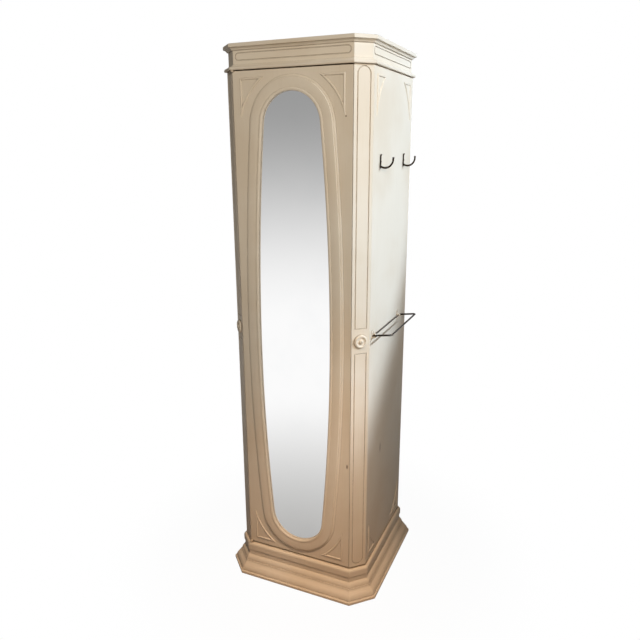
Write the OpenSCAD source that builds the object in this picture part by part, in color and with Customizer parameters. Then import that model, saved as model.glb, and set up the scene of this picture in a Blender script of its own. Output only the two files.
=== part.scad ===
/* [Overall] */
// Height from the floor to the top of the crown
total_h = 1805; // [1600:5:1900]
// Width of the square column across its flat faces
body_w = 475; // [450:5:520]
// Length taken off each side of a corner to make its slanted face
corner_cut = 44; // [42:1:50]
// Air gap between the plinth and the turning column
turn_gap = 5; // [4:0.5:8]
// Thickness of the side panels, the floor board and the top board
board_t = 18; // [15:1:20]
// Clearance between faces that are seated on each other in one body
seat_gap = 0.2; // [0.1:0.1:0.3]
// Glue line at each end of a length of moulding
glue_gap = 0.05; // [0.03:0.01:0.1]

/* [Plinth] */
// Height of the plinth
plinth_h = 114; // [108:1:122]
// How far the plinth's rim stands up round the turntable
rim_h = 12; // [12:0.5:14]
// How far the foot of the plinth stands out from the column's face
plinth_out = 44; // [38:1:48]
// Depth of the plinth moulding behind the column's face
plinth_in = 14; // [10:1:18]
// Height of the flat band at the floor
band_h = 12; // [10:1:15]
// Rounding of the band's lower edge
band_round = 3; // [2:0.5:5]
// Width of the small ledges between the curves
ledge = 2; // [1.5:0.5:2.5]
// Depth of the shallow hollows in the mouldings and the turned pieces
shallow = 1; // [0.6:0.1:1.4]
// Outward place of the lower hollow's upper end
low_cove_out = 27; // [25:1:30]
// Height of the lower hollow's upper end
low_cove_top = 35; // [32:1:38]
// Outward place of the shoulder above the lower hollow
shoulder_out = 19.5; // [18:0.5:21]
// Height of the shoulder
shoulder_top = 48; // [46:1:52]
// Outward place of the neck under the bead
neck_out = 6.5; // [5:0.5:8]
// Height at which the upper hollow meets the neck
neck_low = 66; // [62:1:72]
// Height of the bead at the top of the plinth
bead_h = 29; // [24:1:32]
// How far the bead stands out past the neck
bead_swell = 3; // [2:0.5:4]
// Rounding of the bead's upper edge
bead_round = 9; // [6:1:11]
// Thickness of the plinth's top board
deck_t = 15; // [12:1:18]
// Thickness of the cross rails under the top board
rail_t = 20; // [16:1:24]
// Height of the floor glides
glide_h = 2; // [1.5:0.5:4]
// Radius of a floor glide
glide_r = 16; // [12:1:20]

/* [Turntable] */
// Width of the square turntable plates
plate_w = 270; // [250:5:300]
// Thickness of a turntable plate
plate_t = 2; // [1.5:0.5:2.5]
// Radius of the centre hole in the plates
plate_hole_r = 85; // [70:1:95]
// Pitch radius of the ball ring
ball_ring_r = 120; // [112:1:122]
// Radius of a ball
ball_r = 4; // [3.5:0.5:4.5]
// Number of balls
ball_count = 24; // [16:1:32]
// Running clearance round balls, pins and screws in their holes
fit_gap = 0.05; // [0.03:0.01:0.1]
// Height of each raised race
race_h = 2.5; // [2:0.5:3]
// Half the width of each race
race_half = 7; // [6:0.5:8]
// Thickness of the ball cage
cage_t = 1.6; // [1.2:0.2:2]
// Distance of the plate screws from the middle, along each side
plate_screw_at = 115; // [105:1:118]
// Radius of a plate screw's shank
plate_screw_r = 2; // [1.5:0.5:2.5]
// Radius of a plate screw's head
plate_screw_head_r = 4; // [3:0.5:5]
// Length of a lower plate screw in the wood
plate_screw_len = 12; // [8:1:13]

/* [Posts] */
// Depth of a post behind its front face strip
post_in = 20; // [16:1:24]
// Length of the post behind the side panel's edge
post_tongue = 22; // [18:1:26]
// Margin from a post's edge to its routed outline
groove_margin = 10; // [9:1:13]
// Width of the routed lines
groove_w = 3; // [2:0.5:4]
// Depth of the routed lines
groove_d = 2; // [1:0.5:2.5]
// Rise of the arched ends of the post outlines
arch_rise = 17; // [12:1:19]
// Distance from the routed outline's upper arch to the top of the post
groove_top = 5; // [4:1:12]
// Distance from the routed outline's lower arch to the foot of the post
groove_foot = 10; // [6:1:16]
// Height of the rosettes above the column's middle
rosette_up = 8; // [-40:0.5:60]
// Half the plain length round a rosette
rosette_clear = 39; // [30:1:44]
// Radius of a rosette
rosette_r = 22; // [18:1:24]
// How far a rosette stands out
rosette_h = 9; // [7:0.5:12]
// Width of a rosette's raised rim
rosette_rim = 5.5; // [4:0.5:7]
// Height of the hollow inside a rosette's rim
rosette_hollow = 5; // [3:0.5:6]
// Radius of a rosette's centre button
rosette_button_r = 7; // [5:0.5:9]
// Radius of the dimple in the button
dimple_r = 2; // [1:0.5:3]
// Radius of the glued spigots of rosettes and knobs
spigot_r = 4; // [3:0.5:5]
// Length of those spigots
spigot_len = 12; // [9:1:14]

/* [Crown] */
// Height of the crown
crown_h = 73; // [64:1:80]
// How far the crown's frieze lies behind the column's face
frieze_in = 5; // [3:0.5:7]
// Thickness of the frieze boards
frieze_t = 12; // [10:1:15]
// How far the crown mouldings stand out from the column's face
crown_out = 9.5; // [8:0.5:12]
// Height of the top moulding's nose
nose_h = 11.5; // [9:0.5:13]
// Height of the top moulding
cap_h = 19; // [16:0.5:21]
// Height of the lower crown moulding
skirt_h = 15; // [13:0.5:18]
// Height of the lower moulding's bead
skirt_bead_h = 9; // [7:0.5:10]
// Thickness of the lid board in the crown
lid_t = 9; // [6:1:12]
// How far the lid lies below the crown's top edge
lid_drop = 3; // [2:0.5:5]
// Height of the routed outline on the frieze
capsule_h = 23; // [18:1:25]
// Height of the outline's middle below the crown's top
capsule_drop = 36.5; // [35:0.5:39]
// Margin from the frieze's corner to the outline's end
capsule_margin = 7; // [5:1:12]

/* [Door and mirror] */
// Thickness of the door
door_t = 22; // [19:1:24]
// Gap between the door's back and the posts
door_back_gap = 1; // [0.8:0.1:1.5]
// Gap between the door's long edges and the posts
door_side_gap = 1.5; // [1:0.1:2]
// Gap above the door
door_top_gap = 3; // [2.8:0.1:5]
// Gap from the column's lower end up to the door
door_low_gap = 2; // [1.8:0.1:3]
// Distance from the door's long edges to the visible mirror
mirror_side = 68; // [64:1:75]
// Distance from the door's upper edge to the visible mirror
mirror_above = 60.5; // [56:0.5:90]
// Distance from the door's lower edge to the visible mirror
mirror_below = 61.5; // [56:0.5:90]
// How much smaller the radius of the oval's ends is than half its width
end_round = 30; // [24:1:40]
// Thickness of the mirror glass
glass_t = 5; // [4:0.5:6]
// Thickness of the backing board behind the glass
backer_t = 16; // [13:0.5:17]
// How far the glass reaches behind the moulding
glass_lap = 9; // [7:0.5:11]
// Clearance between the glass and the moulding in front of it
glass_set = 0.3; // [0.2:0.1:0.5]
// Clearance round the glass in the door
glass_gap = 1; // [0.8:0.1:1.5]
// Width of the oval moulding
ring_w = 45; // [43:1:50]
// Height of the oval moulding's inner wall
ring_lip_h = 7; // [6:0.5:9]
// Width of the oval moulding's inner bead
ring_bead_w = 9; // [7:0.5:11]
// Rise of the inner bead above its wall
ring_bead_rise = 1.4; // [0.8:0.1:2.4]
// Rise of the main round above its edges
ring_swell = 0.8; // [0.6:0.2:5]
// Width of the fine lines on each side of the main round
ring_quirk = 1; // [0.6:0.1:1.2]
// Width of the sloping outer step
ring_step_w = 7; // [6:0.5:9]
// Height of the outer step at its inner edge
ring_step_h = 4; // [3:0.5:5.5]
// Height of the outer step at its outer edge
ring_step_low = 1.2; // [0.8:0.2:2]
// Rise of the step's rounded slope above a straight one
ring_round = 0.6; // [0.4:0.1:1]
// Number of backer clips on each long side
clip_count = 4; // [3:1:5]
// Length of a backer clip
clip_len = 36; // [30:1:42]
// Width of a backer clip
clip_w = 12; // [10:1:14]
// Thickness of a backer clip
clip_t = 2; // [1.5:0.5:2.5]

/* [Corner beads] */
// Width of the applied corner beads
corner_bead_w = 6.5; // [5:0.5:8]
// Height of the applied corner beads
corner_bead_h = 3; // [2:0.5:4]
// Distance of the beads from the face's long edges
corner_bead_side = 25; // [22:1:30]
// Distance of the beads from the column's ends
corner_bead_end = 22; // [18:1:28]
// Length of a corner bead's level leg
corner_bead_wide = 80; // [70:1:84]
// Length of a corner bead's upright leg
corner_bead_tall = 116; // [100:1:124]
// Radius of a corner bead's hollowed leg
corner_bead_r = 205; // [180:5:240]

/* [Door hinge and catch] */
// Distance of the hinge pin in front of the column's face
pin_out = 4; // [4:0.1:4.5]
// Distance of the hinge pin inside the face's left edge
pin_side = 3; // [3:0.5:4]
// Radius of the hinge pin
pin_r = 2; // [1.5:0.25:2.25]
// Radius of the eye round the pin
eye_r = 4.5; // [4:0.1:4.6]
// Thickness of the hinge leaves
leaf_t = 2; // [1.6:0.1:2.5]
// Length of the door leaves
leaf_len = 60; // [50:1:70]
// Width of the door leaves
leaf_w = 12; // [10:0.5:14]
// Clearance between the hinge leaves at the pin's collar
collar_gap = 0.2; // [0.1:0.1:0.3]
// Height of the catch above the column's middle
catch_up = 11.5; // [-40:0.5:60]
// Height of the magnetic catch
catch_h = 46; // [40:1:56]
// Width of the magnetic catch
catch_w = 15; // [12:1:18]
// Depth of the magnetic catch
catch_d = 14; // [12:1:18]
// Thickness of the steel plate on the door
strike_t = 1; // [0.8:0.1:1.2]
// Gap between the catch and its plate
catch_gap = 0.3; // [0.3:0.1:0.5]

/* [Inside] */
// Thickness of the board between the front and the rear bay
divider_t = 12; // [10:1:15]
// Place of the divider's front face from the column's middle
divider_y = 0; // [-10:1:10]
// Thickness of the shelves
shelf_t = 15; // [12:1:18]
// Number of front shelves
shelf_count = 3; // [2:1:4]
// Height of the lowest front shelf above the floor board
shelf_first = 380; // [300:10:440]
// Spacing of the front shelves
shelf_step = 300; // [250:5:320]
// Distance of the front shelves from the door's back
shelf_back = 15; // [14:1:30]
// Distance from the top board down to the necklace rail's lower edge
rail_drop = 117; // [100:1:180]
// Height of the necklace rail
rail_h = 40; // [30:1:50]
// Depth of the necklace rail
rail_d = 18; // [14:1:22]
// Number of necklace hooks
peg_count = 9; // [5:1:11]
// Spacing of the necklace hooks
peg_step = 38; // [32:1:42]
// Radius of a necklace hook's rod
peg_r = 2; // [1.5:0.5:2.5]
// Length of a necklace hook
peg_len = 30; // [24:1:40]
// Height of a necklace hook's upturned tip
peg_rise = 10; // [8:1:14]
// Radius of the ball on that tip
peg_ball_r = 3; // [2.5:0.25:3.5]
// Width of the jewel tray
tray_w = 300; // [260:5:330]
// Depth of the jewel tray
tray_d = 150; // [120:5:165]
// Height of the jewel tray
tray_h = 45; // [35:1:60]
// Thickness of the jewel tray's walls
tray_t = 6; // [5:0.5:8]

/* [Drawers] */
// Number of drawers in the rear bay
drawer_count = 4; // [4:1:4]
// Height of one drawer's opening
drawer_open_h = 150; // [130:5:170]
// Gap round a drawer front
drawer_gap = 1.5; // [1:0.5:2]
// Thickness of a drawer front
drawer_front_t = 18; // [15:1:20]
// Thickness of the drawer sides
drawer_side_t = 10; // [8:1:12]
// Thickness of the drawer bottom
drawer_floor_t = 5; // [4:0.5:8]
// Height of the drawer sides
drawer_side_h = 118; // [100:1:120]
// Clearance between a drawer box and its bay
drawer_run_gap = 1; // [0.5:0.1:1.5]
// Gap under a drawer box
drawer_seat_gap = 0.3; // [0.3:0.1:0.5]
// Space behind a closed drawer
drawer_back_gap = 8; // [4:1:12]
// Number of shelves above the drawers
bay_shelf_count = 3; // [2:1:3]
// Thickness of the cheek boards beside the drawers
cheek_t = 12; // [10:1:15]
// Radius of a drawer knob
knob_r = 14; // [11:1:16]
// Length of a drawer knob
knob_len = 24; // [20:1:28]

/* [Robe hooks] */
// Distance from the crown down to the hook plates' lower end
hook_drop = 283; // [240:1:400]
// Sideways place of the hooks' middle from the middle of the side
hook_mid = -10; // [-12:1:12]
// Distance of each hook from that middle
hook_y = 118.5; // [90:0.5:140]
// Height of a hook plate
hook_plate_h = 44; // [40:1:55]
// Width of a hook plate
hook_plate_w = 9; // [8:0.5:12]
// Height of the lower screw above the plate's lower end
hook_screw_low = 21; // [18:1:24]
// Thickness of a hook plate
hook_plate_t = 2.5; // [2:0.5:3]
// Radius of the hook's rod
hook_rod_r = 3; // [2.5:0.25:3.5]
// Bend radius of the hook
hook_bend = 24.5; // [21:0.5:27]
// Distance of the bend's middle from the side's face
hook_bend_out = 15.5; // [14:0.5:18]
// Length of the straight tip above the bend
hook_tip = 3.5; // [3:0.5:12]
// Radius of the ball at the tip
hook_ball_r = 3.6; // [3.5:0.1:5]
// Radius of a small screw's shank
screw_r = 1.75; // [1.5:0.25:2]
// Radius of a small screw's head
screw_head_r = 3.5; // [3:0.25:4]
// Height of a small screw's head
screw_head_h = 1.6; // [1.2:0.2:2]
// Length of a small screw in the wood
screw_len = 11; // [8:1:13]

/* [Valet bar] */
// Height of the valet bar's hinge line above the column's middle
valet_up = 18.5; // [-80:0.5:60]
// Distance from the side's front edge to the bar's near arm
valet_near = 21; // [16:0.5:60]
// Distance between the bar's two arms
valet_w = 274; // [220:2:300]
// Length of the arms from the hinge line to the front rod
valet_len = 58; // [40:1:64]
// Radius of the front rod and the arms
valet_rod_r = 3; // [2.5:0.25:3.5]
// Radius of the rod that turns in the brackets
valet_pin_r = 2; // [1.75:0.25:2.25]
// Bend radius at the front corners
valet_bend = 9; // [7:0.5:12]
// Rise of the arms at rest, in degrees
valet_tilt = 8; // [0:1:12]
// Distance of the hinge line from the side's face
valet_out = 7; // [6.5:0.5:9]
// Width of a bracket plate
bracket_w = 19; // [18:1:24]
// Height of a bracket plate
bracket_h = 30; // [28:1:36]
// Thickness of a bracket plate
bracket_t = 2; // [1.5:0.5:2.5]
// Length of the bracket's bearing along the rod
bracket_eye_len = 8; // [6:1:10]
// Wall of that bearing round the rod
bracket_wall = 2.5; // [2:0.25:3]
// Gap between the bracket's stop and the resting arm
stop_gap = 0.3; // [0.3:0.1:0.5]

/* [Hidden] */

$fn = 48;
// Rounding steps of the turntable's and the posts' larger circles
large_fn = 96;
// Rounding steps of the oval's ends and the curved beads, and of the oval's nearly flat sides
end_fn = 120;
long_fn = 720;
// Steps of a curve in a moulding's outline
curve_n = 7;
// Steps of each of the oval's four arcs where it is cut out or cut to shape
oval_n = 36;
// Small length by which a cutting shape passes the face that it cuts
past = 1;

// Half the column's width, and half the length of its flat faces
half = body_w / 2;
flat = half - corner_cut;
// Distance of a slanted corner face from the middle, and its length
slant_at = (2 * half - corner_cut) / sqrt(2);
slant_len = corner_cut * sqrt(2);
mitre = tan(22.5);

body_low = plinth_h + turn_gap;
body_top = total_h - crown_h;
body_mid = (body_low + body_top) / 2;
floor_top = body_low + board_t;
ceiling = body_top - board_t;
inner_half = half - board_t;
gate = flat - post_in;
rebate = door_t + door_back_gap;

deck_top = plinth_h - rim_h;
deck_low = deck_top - deck_t;
glide_at = half - plinth_in - glide_r - seat_gap;
upper_screw_top = floor_top - board_t / 2;
race_mid = deck_top + plate_t + ball_r;
upper_plate_low = race_mid + ball_r;
spacer_low = upper_plate_low + plate_t;

crown_inside = -frieze_in;
frieze_half = half - frieze_in;
frieze_top = total_h - lid_t - lid_drop;

door_half = flat - door_side_gap;
door_low = body_low + door_low_gap;
door_top = body_top - door_top_gap;
door_front = -half;
door_back = door_front + door_t;
hinge_x = -(flat - pin_side);
hinge_y = -(half + pin_out);
leaf_y = (door_front + door_back) / 2;

mirror_top = door_top - mirror_above;
mirror_low = door_low + mirror_below;
mirror_z = (mirror_top + mirror_low) / 2;
sight_half_w = door_half - mirror_side;
mirror_end_r = sight_half_w - end_round;
end_at = mirror_top - mirror_z - mirror_end_r;
// Radius of the oval's sides, from the rule that the four arcs meet smoothly
side_r = (pow(sight_half_w, 2) - pow(mirror_end_r, 2) + pow(end_at, 2))
    / (2 * (sight_half_w - mirror_end_r));
join_a = asin(end_at / (side_r - mirror_end_r));
corner_bead_ends = norm([corner_bead_wide, corner_bead_tall]);
// Middle of the hollowed leg's arc, from the bead's outer corner
corner_bead_mid = -[corner_bead_wide, corner_bead_tall] / 2
    - sqrt(pow(corner_bead_r / corner_bead_ends, 2) - 0.25) * [corner_bead_tall, corner_bead_wide];

post_panel_half = slant_len / 2 - groove_margin;
rosette_z = body_mid + rosette_up;
catch_z = body_mid + catch_up;
hook_z = body_top - hook_drop;
valet_z = body_mid + valet_up;
valet_mid = valet_near + valet_w / 2 - flat;
rail_low = ceiling - rail_drop;
divider_back = divider_y + divider_t;
bay_step = drawer_open_h + shelf_t;
bay_top = floor_top + drawer_count * bay_step;
bay_shelf_step = (ceiling - bay_top) / bay_shelf_count;
drawer_box_half = gate - drawer_run_gap;
drawer_box_back = divider_back + drawer_back_gap;
drawer_box_front = half - drawer_front_t;
bracket_at = valet_w / 2 - valet_rod_r - seat_gap - bracket_eye_len / 2;
shelf_at = [for (i = [0 : shelf_count - 1]) floor_top + shelf_first + i * shelf_step];
tray_z = shelf_at[shelf_count - 1] + shelf_t;

paint = [0.93, 0.90, 0.82];
shade = [0.82, 0.74, 0.62];
inside = [0.80, 0.72, 0.60];
dark_metal = [0.20, 0.18, 0.16];
steel = [0.70, 0.70, 0.72];

// Points of an arc from a to b whose middle stands s off the chord, to the left of a to b
function arc_between(a, b, s) =
    let (
        chord = norm(b - a),
        r = (chord * chord / 4 + s * s) / (2 * abs(s)),
        turn = 2 * asin(min(1, chord / (2 * r))),
        side = s > 0 ? 1 : -1,
        ahead = (b - a) / chord,
        left = [-ahead[1], ahead[0]],
        centre = (a + b) / 2 - side * (r - abs(s)) * left,
        start = atan2(a[1] - centre[1], a[0] - centre[0])
    )
    [for (i = [0 : curve_n])
        let (at = start - side * turn * i / curve_n)
        centre + r * [cos(at), sin(at)]];

// Outline of the column seen from above, moved outward by d
function column_plan(d) =
    let (h = half + d, f = flat + d * mitre)
    [[-f, -h], [f, -h], [h, -f], [h, f], [f, h], [-f, h], [-h, f], [-h, -f]];

module column_slab(d, low, high) {
    translate([0, 0, low]) linear_extrude(high - low) polygon(column_plan(d));
}

// Face k of the column: 0 is the mirror side, each next one is 45 degrees round
module on_face(k, out = 0) {
    at = k % 2 == 0 ? half : slant_at;
    rotate([0, 0, 45 * k]) translate([0, -at - out, 0]) rotate([90, 0, 0]) children();
}

// One mitred length of moulding along face k, with its outline given as outward place and height
module moulding_length(k, outline, out_far, in_far) {
    len = k % 2 == 0 ? 2 * flat : slant_len;
    at = k % 2 == 0 ? half : slant_at;
    far = len / 2 + out_far * mitre - glue_gap;
    near = len / 2 - in_far * mitre - glue_gap;
    rotate([0, 0, 45 * k]) intersection() {
        translate([-far, -at, 0]) rotate([90, 0, 90])
            linear_extrude(2 * far) polygon([for (p = outline) [-p[0], p[1]]]);
        linear_extrude(total_h + past) polygon([
            [-far, -at - out_far], [far, -at - out_far],
            [near, -at + in_far], [-near, -at + in_far]
        ]);
    }
}

module mitred_ring(outline, out_far, in_far) {
    for (k = [0 : 7]) moulding_length(k, outline, out_far, in_far);
}

// The free space between the posts and panels, seen from above
module inner_plan(y_low, y_high) {
    intersection() {
        union() {
            translate([-inner_half, -flat + post_tongue])
                square([2 * inner_half, 2 * (flat - post_tongue)]);
            translate([-gate, -half]) square([2 * gate, 2 * half]);
        }
        translate([-half, y_low]) square([2 * half, y_high - y_low]);
    }
}

module box_between(a, b) {
    translate(a) cube(b - a);
}

// A flat plate with round ends, standing on its lower end
module round_ended(width, height) {
    translate([-width / 2, width / 2]) square([width, height - width]);
    translate([0, width / 2]) circle(width / 2);
    translate([0, height - width / 2]) circle(width / 2);
}

// Points of an arc, without its last one
function arc_run(centre, r, from, to) =
    [for (i = [0 : oval_n - 1]) let (a = from + (to - from) * i / oval_n) centre + r * [cos(a), sin(a)]];

// Outline of the oval, moved outward by k: its four arcs meet smoothly
function oval_points(k) =
    let (side_x = side_r - sight_half_w, long_r = side_r + k, end_r = mirror_end_r + k)
    concat(
        arc_run([-side_x, 0], long_r, -join_a, join_a),
        arc_run([0, end_at], end_r, join_a, 180 - join_a),
        arc_run([side_x, 0], long_r, 180 - join_a, 180 + join_a),
        arc_run([0, -end_at], end_r, 180 + join_a, 360 - join_a)
    );

module oval_plan(k) {
    polygon(oval_points(k));
}

// Sweeps an outline round the oval in four lengths; its x is the distance out from the visible edge
module oval_sweep() {
    glue_a = glue_gap / mirror_end_r * 180 / PI;
    for (s = [0, 180]) rotate([0, 0, s]) {
        translate([0, end_at, 0]) rotate([0, 0, join_a + glue_a])
            rotate_extrude(angle = 180 - 2 * (join_a + glue_a), $fn = end_fn)
            translate([mirror_end_r, 0]) children();
        translate([sight_half_w - side_r, 0, 0]) rotate([0, 0, -join_a])
            rotate_extrude(angle = 2 * join_a, $fn = long_fn) translate([side_r, 0]) children();
    }
}

function plinth_outline() =
    let (
        foot_in = plinth_out - band_round,
        band_top = [plinth_out - 3 * ledge, band_h + ledge],
        cove_end = [low_cove_out, low_cove_top],
        step = [low_cove_out - ledge, low_cove_top + ledge],
        bead_low = plinth_h - bead_h,
        bead_out = neck_out + bead_swell
    )
    concat(
        [[-plinth_in, glide_h], [plinth_out - band_round, glide_h]],
        arc_between([foot_in, glide_h], [plinth_out, glide_h + band_round], -1),
        [[plinth_out, band_h]],
        arc_between(band_top, cove_end, -band_round),
        arc_between(step, [shoulder_out, shoulder_top - ledge], shallow),
        [[shoulder_out, shoulder_top]],
        arc_between([shoulder_out - ledge, shoulder_top], [neck_out, neck_low], -band_round),
        [[neck_out, bead_low]],
        arc_between([neck_out + ledge / 2, bead_low], [bead_out, bead_low + ledge], -ledge / 4),
        arc_between([bead_out, plinth_h - bead_round], [bead_out - bead_round, plinth_h],
            (cos(45) - 1) * bead_round),
        [[-plinth_in, plinth_h]]
    );

module plinth_mouldings() {
    color(shade) mitred_ring(plinth_outline(), plinth_out + past, plinth_in + past);
}

module plate_screw_spots() {
    for (x = [-1, 1], y = [-1, 1]) translate([x * plate_screw_at, y * plate_screw_at, 0]) children();
}

module plinth_deck() {
    color(shade) difference() {
        column_slab(-plinth_in - seat_gap, deck_low, deck_top);
        plate_screw_spots() translate([0, 0, deck_top - plate_screw_len])
            plate_screw_hole(plate_screw_len + past);
    }
}

module plinth_cross_rails() {
    reach = half - plinth_in - seat_gap;
    color(inside) {
        box_between([-reach, -rail_t / 2, glide_h], [reach, rail_t / 2, deck_low]);
        box_between([-rail_t / 2, -reach, glide_h], [rail_t / 2, reach, deck_low]);
    }
}

// The middle glide and four more at the ends of the cross rails
module floor_glides() {
    color(dark_metal) {
        cylinder(r = glide_r, h = glide_h);
        for (k = [0 : 3]) rotate([0, 0, 90 * k]) translate([glide_at, 0, 0])
            cylinder(r = glide_r, h = glide_h);
    }
}

// A turntable plate with its raised race, ball track, centre hole and screw holes
module turntable_plate(low, race_low) {
    difference() {
        union() {
            translate([-plate_w / 2, -plate_w / 2, low]) cube([plate_w, plate_w, plate_t]);
            translate([0, 0, race_low]) flat_ring(race_h);
        }
        translate([0, 0, low - past]) cylinder(r = plate_hole_r, h = plate_t + 2 * past, $fn = large_fn);
        ball_track();
        plate_screw_spots() translate([0, 0, low - past]) plate_screw_hole(plate_t + 2 * past);
    }
}

module flat_ring(height) {
    difference() {
        cylinder(r = ball_ring_r + race_half, h = height, $fn = large_fn);
        translate([0, 0, -past])
            cylinder(r = ball_ring_r - race_half, h = height + 2 * past, $fn = large_fn);
    }
}

module plate_screw_hole(depth) {
    cylinder(r = plate_screw_r + fit_gap, h = depth);
}

module ball_track() {
    translate([0, 0, race_mid]) rotate_extrude($fn = large_fn)
        translate([ball_ring_r, 0]) circle(ball_r + fit_gap);
}

module turntable_lower_plate() {
    color(steel) turntable_plate(deck_top, deck_top + plate_t);
}

module turntable_upper_plate() {
    color(steel) turntable_plate(upper_plate_low, upper_plate_low - race_h);
}

module lower_plate_screws() {
    color(steel) plate_screw_spots() {
        translate([0, 0, deck_top - plate_screw_len])
            cylinder(r = plate_screw_r, h = plate_screw_len + plate_t);
        translate([0, 0, deck_top + plate_t]) cylinder(r = plate_screw_head_r, h = screw_head_h);
    }
}

module upper_plate_screws() {
    color(steel) plate_screw_spots() {
        translate([0, 0, upper_plate_low])
            cylinder(r = plate_screw_r, h = upper_screw_top - upper_plate_low);
        translate([0, 0, upper_plate_low - screw_head_h]) cylinder(r = plate_screw_head_r, h = screw_head_h);
    }
}

module ball_spots() {
    for (i = [0 : ball_count - 1]) rotate([0, 0, 360 * i / ball_count])
        translate([ball_ring_r, 0, race_mid]) children();
}

module ball_cage() {
    color("ivory") difference() {
        translate([0, 0, race_mid - cage_t / 2]) flat_ring(cage_t);
        ball_spots() translate([0, 0, -cage_t / 2 - past])
            cylinder(r = ball_r + fit_gap, h = cage_t + 2 * past);
    }
}

module bearing_balls() {
    color(steel) ball_spots() sphere(ball_r);
}

module bearing_spacer() {
    color(inside) difference() {
        translate([-plate_w / 2, -plate_w / 2, spacer_low]) cube([plate_w, plate_w, body_low - spacer_low]);
        plate_screw_spots() translate([0, 0, spacer_low - past])
            plate_screw_hole(body_low - spacer_low + 2 * past);
    }
}

module floor_board() {
    color(inside) difference() {
        translate([0, 0, body_low]) linear_extrude(board_t) inner_plan(-half + rebate, half);
        plate_screw_spots() translate([0, 0, body_low - past])
            plate_screw_hole(upper_screw_top - body_low + past);
    }
}

module top_board() {
    color(inside) translate([0, 0, ceiling]) linear_extrude(board_t) inner_plan(-half + rebate, half);
}

// Outline on a post, moved inward by k, with one arched end
module post_panel(k, low, high) {
    w = post_panel_half - k;
    arch_r = (pow(post_panel_half, 2) + pow(arch_rise, 2)) / (2 * arch_rise);
    intersection() {
        translate([-w, low + k]) square([2 * w, high - low - 2 * k]);
        union() {
            translate([-w, low]) square([2 * w, high - low - arch_rise]);
            translate([0, high - arch_r]) circle(arch_r - k, $fn = large_fn);
        }
    }
}

module post_groove(low, high) {
    difference() {
        post_panel(0, low, high);
        post_panel(groove_w, low, high);
    }
}

module post_grooves(k) {
    on_face(k, -groove_d) linear_extrude(groove_d + past) {
        post_groove(rosette_z + rosette_clear, body_top - groove_top);
        mirror([0, 1]) post_groove(-rosette_z + rosette_clear, -body_low - groove_foot);
    }
}

// Plan of the front right post, cut back behind the door
function front_post_plan() = [
    [flat, -half], [half, -flat], [inner_half, -flat], [inner_half, -flat + post_tongue],
    [gate, -flat + post_tongue], [gate, -half + rebate], [flat, -half + rebate]
];

function rear_post_plan() = [
    [flat, half], [half, flat], [inner_half, flat], [inner_half, flat - post_tongue],
    [gate, flat - post_tongue], [gate, half]
];

module post(plan, groove_face) {
    color(paint) difference() {
        translate([0, 0, body_low]) linear_extrude(body_top - body_low) polygon(plan);
        post_grooves(groove_face);
        rosette_spot(groove_face) translate([0, 0, -spigot_len])
            cylinder(r = spigot_r, h = spigot_len + past);
    }
}

module front_right_post() {
    post(front_post_plan(), 1);
}

module front_left_post() {
    mirror([1, 0, 0]) post(front_post_plan(), 1);
}

module rear_right_post() {
    post(rear_post_plan(), 3);
}

module rear_left_post() {
    mirror([1, 0, 0]) post(rear_post_plan(), 3);
}

module rosette_spot(k) {
    on_face(k) translate([0, rosette_z, 0]) children();
}

// A turned rosette: outer rim, hollow, and a centre button with a dimple
module rosette() {
    rim_low = ledge / 2;
    rim_in = rosette_r - rosette_rim;
    difference() {
        union() {
            glued_spigot();
            rotate_extrude() polygon(concat(
                [[0, 0], [rosette_r - rim_low, 0]],
                arc_between([rosette_r, rim_low], [rim_in, rosette_h - ledge], -ledge),
                arc_between([rim_in - ledge / 2, rosette_h - ledge],
                    [rosette_button_r, rosette_hollow], shallow),
                arc_between([rosette_button_r, rosette_hollow], [dimple_r, rosette_h], -ledge / 2),
                [[0, rosette_h]]
            ));
        }
        translate([0, 0, rosette_h]) sphere(r = dimple_r);
    }
}

module glued_spigot() {
    translate([0, 0, seat_gap - spigot_len]) cylinder(r = spigot_r - seat_gap, h = spigot_len);
}

module post_rosettes() {
    color(paint) for (k = [1, 3, 5, 7]) rosette_spot(k) rosette();
}

module side_panel() {
    box_between([inner_half, -flat, body_low], [half, flat, body_top]);
}

module right_side_panel() {
    color(paint) difference() {
        side_panel();
        hook_screw_spots() translate([0, 0, -screw_len]) cylinder(r = screw_r, h = screw_len + past);
        bracket_screw_spots() translate([0, 0, -screw_len]) cylinder(r = screw_r, h = screw_len + past);
    }
}

module left_side_panel() {
    color(paint) mirror([1, 0, 0]) side_panel();
}

// Three-sided corner bead for the upper right corner of a face, moved inward by k
module corner_bead_region(k) {
    difference() {
        translate(corner_bead_mid) square(-corner_bead_mid - [k, k]);
        translate(corner_bead_mid) circle(corner_bead_r + k, $fn = end_fn);
    }
}

module corner_bead() {
    linear_extrude(corner_bead_h) difference() {
        corner_bead_region(0);
        corner_bead_region(corner_bead_w);
    }
}

module face_beads(k) {
    on_face(k) translate([0, body_mid, 0]) for (side = [0, 1], end = [0, 1])
        mirror([side, 0, 0]) mirror([0, end, 0])
        translate([flat - corner_bead_side, body_top - body_mid - corner_bead_end, 0]) corner_bead();
}

module right_panel_beads() {
    color(paint) face_beads(2);
}

module left_panel_beads() {
    color(paint) face_beads(6);
}

module door_beads() {
    color(paint) face_beads(0);
}

module divider_panel() {
    color(inside) translate([0, 0, floor_top]) linear_extrude(ceiling - floor_top)
        inner_plan(divider_y, divider_back);
}

module front_shelves() {
    color(inside) for (z = shelf_at) translate([0, 0, z])
        linear_extrude(shelf_t) inner_plan(door_back + shelf_back, divider_y);
}

module necklace_rail() {
    color(inside) difference() {
        box_between([-inner_half, divider_y - rail_d, rail_low], [inner_half, divider_y, rail_low + rail_h]);
        peg_spots() rotate([-90, 0, 0]) cylinder(r = peg_r, h = rail_d / 2);
    }
}

module peg_spots() {
    first = -(peg_count - 1) / 2 * peg_step;
    for (i = [0 : peg_count - 1])
        translate([first + i * peg_step, divider_y - rail_d, rail_low + rail_h / 2]) children();
}

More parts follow.
